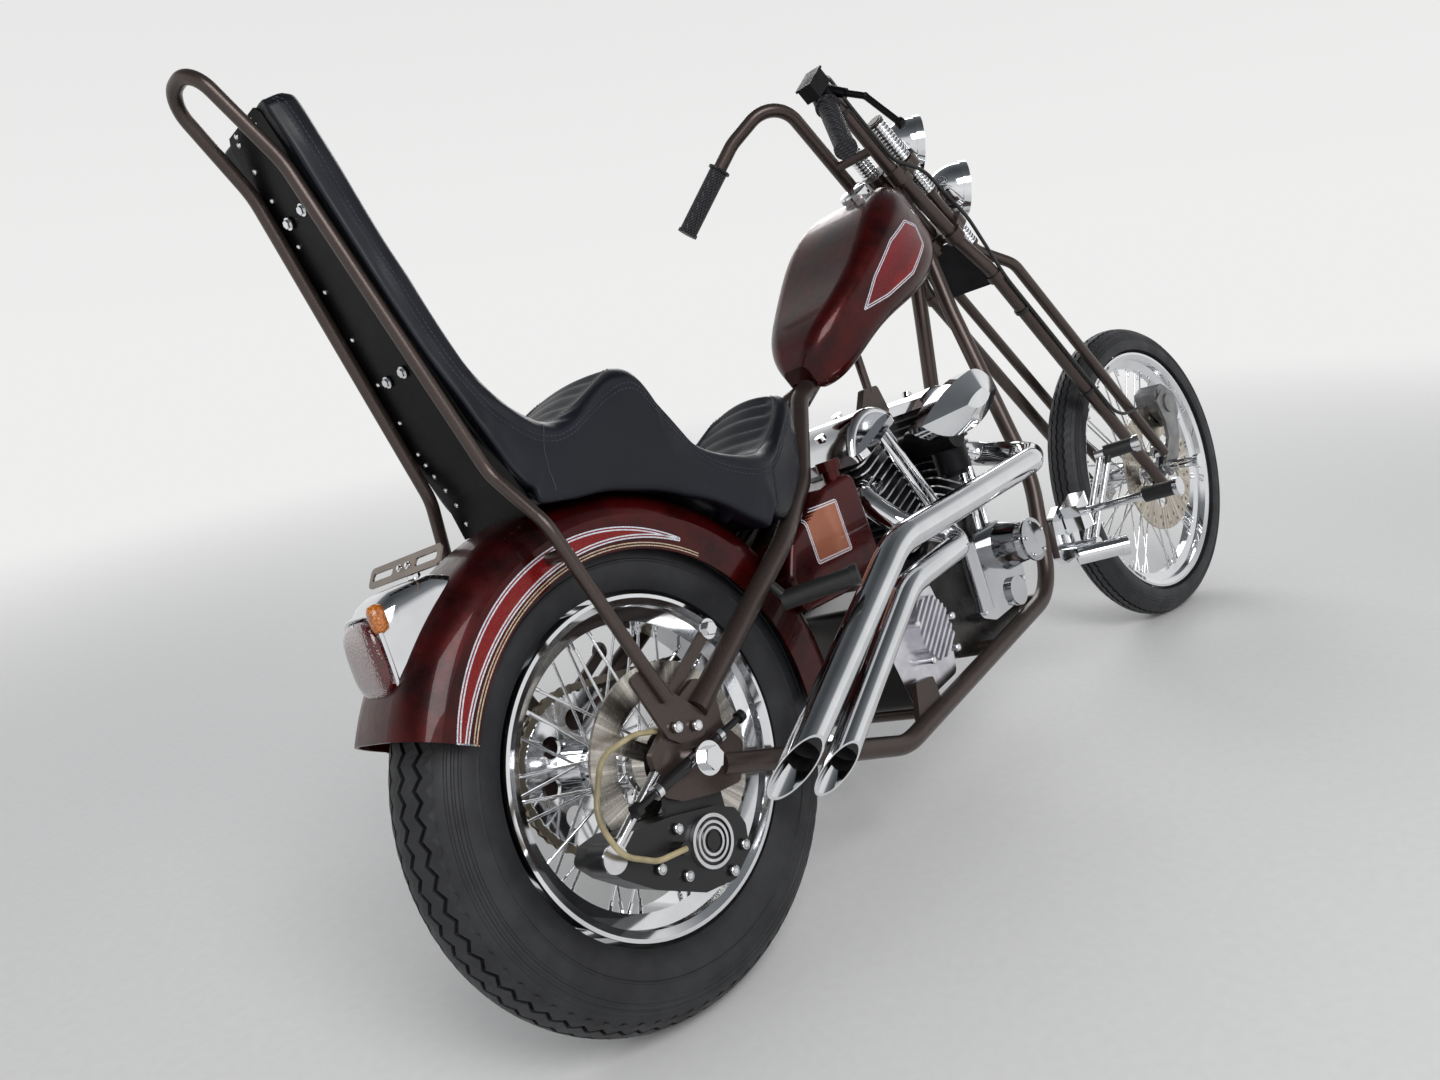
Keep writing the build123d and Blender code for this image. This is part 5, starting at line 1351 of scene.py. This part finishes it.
# The dark insides of the pipes
def soot():
    store, sides = Parts(), 32
    deep, wall = 128, 2.35
    pipes = (((90, -200, -54), (430, -200, 146), 23.0), ((164, -196, -88), (430, -194, 80), 20.0))
    for tip, before, r in pipes:
        a, b = bike(*tip), bike(*before)
        run = (b - a).normalized()
        one, two = across(run)
        verts = []
        for at in (a + run * r * 1.2 * MM, a + run * deep * MM):
            for i in range(sides):
                t = 2 * pi * i / sides
                verts.append(at + (one * cos(t) + two * sin(t)) * (r - wall) * MM)
        store.add(verts, quads(2, sides) + [tuple(sides + i for i in range(sides))])
    store.make("pipe_soot", SOOT, "motorcycle", "chrome")


soot()


# Floor and light
BACKDROP = (0.86, 0.86, 0.855)


def make_floor():
    sides, rings = 48, (2, 4, 8, 16, 32, 64)
    verts = [(0, 0, 0)]
    for r in rings:
        verts += [(r * cos(2 * pi * i / sides), r * sin(2 * pi * i / sides), 0) for i in range(sides)]
    faces = [(0, 1 + i, 1 + (i + 1) % sides) for i in range(sides)]
    faces += quads(len(rings), sides, flip=True, first=1)
    mesh = bpy.data.meshes.new("floor")
    mesh.from_pydata(verts, [], faces)
    floor = bpy.data.objects.new("floor", mesh)
    bpy.context.scene.collection.objects.link(floor)
    look = Look("floor", (0.78, 0.775, 0.765), 0.85)
    look.ramp(look.noise(60, 5), (0.3, (0.765, 0.76, 0.75)), (0.7, (0.795, 0.79, 0.78)))
    out = look.tree.nodes["Material Output"]
    away = look.add("ShaderNodeVectorMath", [(look.coords, 0)], operation="LENGTH").outputs["Value"]
    # Far from the object the floor turns into the backdrop
    fade = look.add("ShaderNodeMapRange", [(away, "Value")], in_From_Min=1.6, in_From_Max=5.5)
    fade.interpolation_type = "SMOOTHSTEP"
    glow = look.add("ShaderNodeEmission", in_Color=(*BACKDROP, 1), in_Strength=1.0)
    share = look.times(fade.outputs[0], look.seen_share())
    mixed = look.add("ShaderNodeMixShader", [(share, 0), (look.shader.outputs[0], 1), (glow.outputs[0], 2)])
    look.link(mixed.outputs[0], out.inputs["Surface"])
    floor.data.materials.append(look.material)


def area_light(name, at, target, size, power):
    data = bpy.data.lights.new(name, "AREA")
    data.shape = "RECTANGLE"
    data.size, data.size_y = size
    data.energy = power
    light = bpy.data.objects.new(name, data)
    light.location = at
    light.rotation_euler = (Vector(target) - Vector(at)).to_track_quat("-Z", "Y").to_euler()
    bpy.context.scene.collection.objects.link(light)


def make_light():
    world = bpy.data.worlds.new("studio")
    bpy.context.scene.world = world
    world.use_nodes = True
    sky = Nodes(world.node_tree)
    lit = sky.tree.nodes["Background"]
    lit.inputs["Color"].default_value = (0.85, 0.87, 0.9, 1)
    lit.inputs["Strength"].default_value = 0.5
    coords = sky.add("ShaderNodeTexCoord")
    split = sky.add("ShaderNodeSeparateXYZ", [(coords.outputs["Generated"], 0)])
    # Pale at the level of the eye, greyer overhead, as a studio's ceiling is
    levels = [(0.0, BACKDROP), (0.46, (0.76, 0.76, 0.76))]
    levels += [(0.62, (0.20, 0.21, 0.22)), (1.0, (0.06, 0.065, 0.07))]
    shown = sky.colour_ramp(split.outputs["Z"], levels)
    seen = sky.add("ShaderNodeBackground", [(shown, "Color")])
    mixed = sky.add("ShaderNodeMixShader", [(sky.seen_share(), 0), (lit.outputs[0], 1), (seen.outputs[0], 2)])
    sky.link(mixed.outputs[0], sky.tree.nodes["World Output"].inputs["Surface"])
    area_light("key", (-2.0, -3.2, 3.6), (0, 0, 0.5), (2.5, 2.0), 110)
    area_light("fill", (3.0, 2.5, 2.6), (0, 0, 0.5), (2.5, 2.0), 50)
    bpy.context.scene.view_settings.view_transform = "Standard"


make_floor()
make_light()
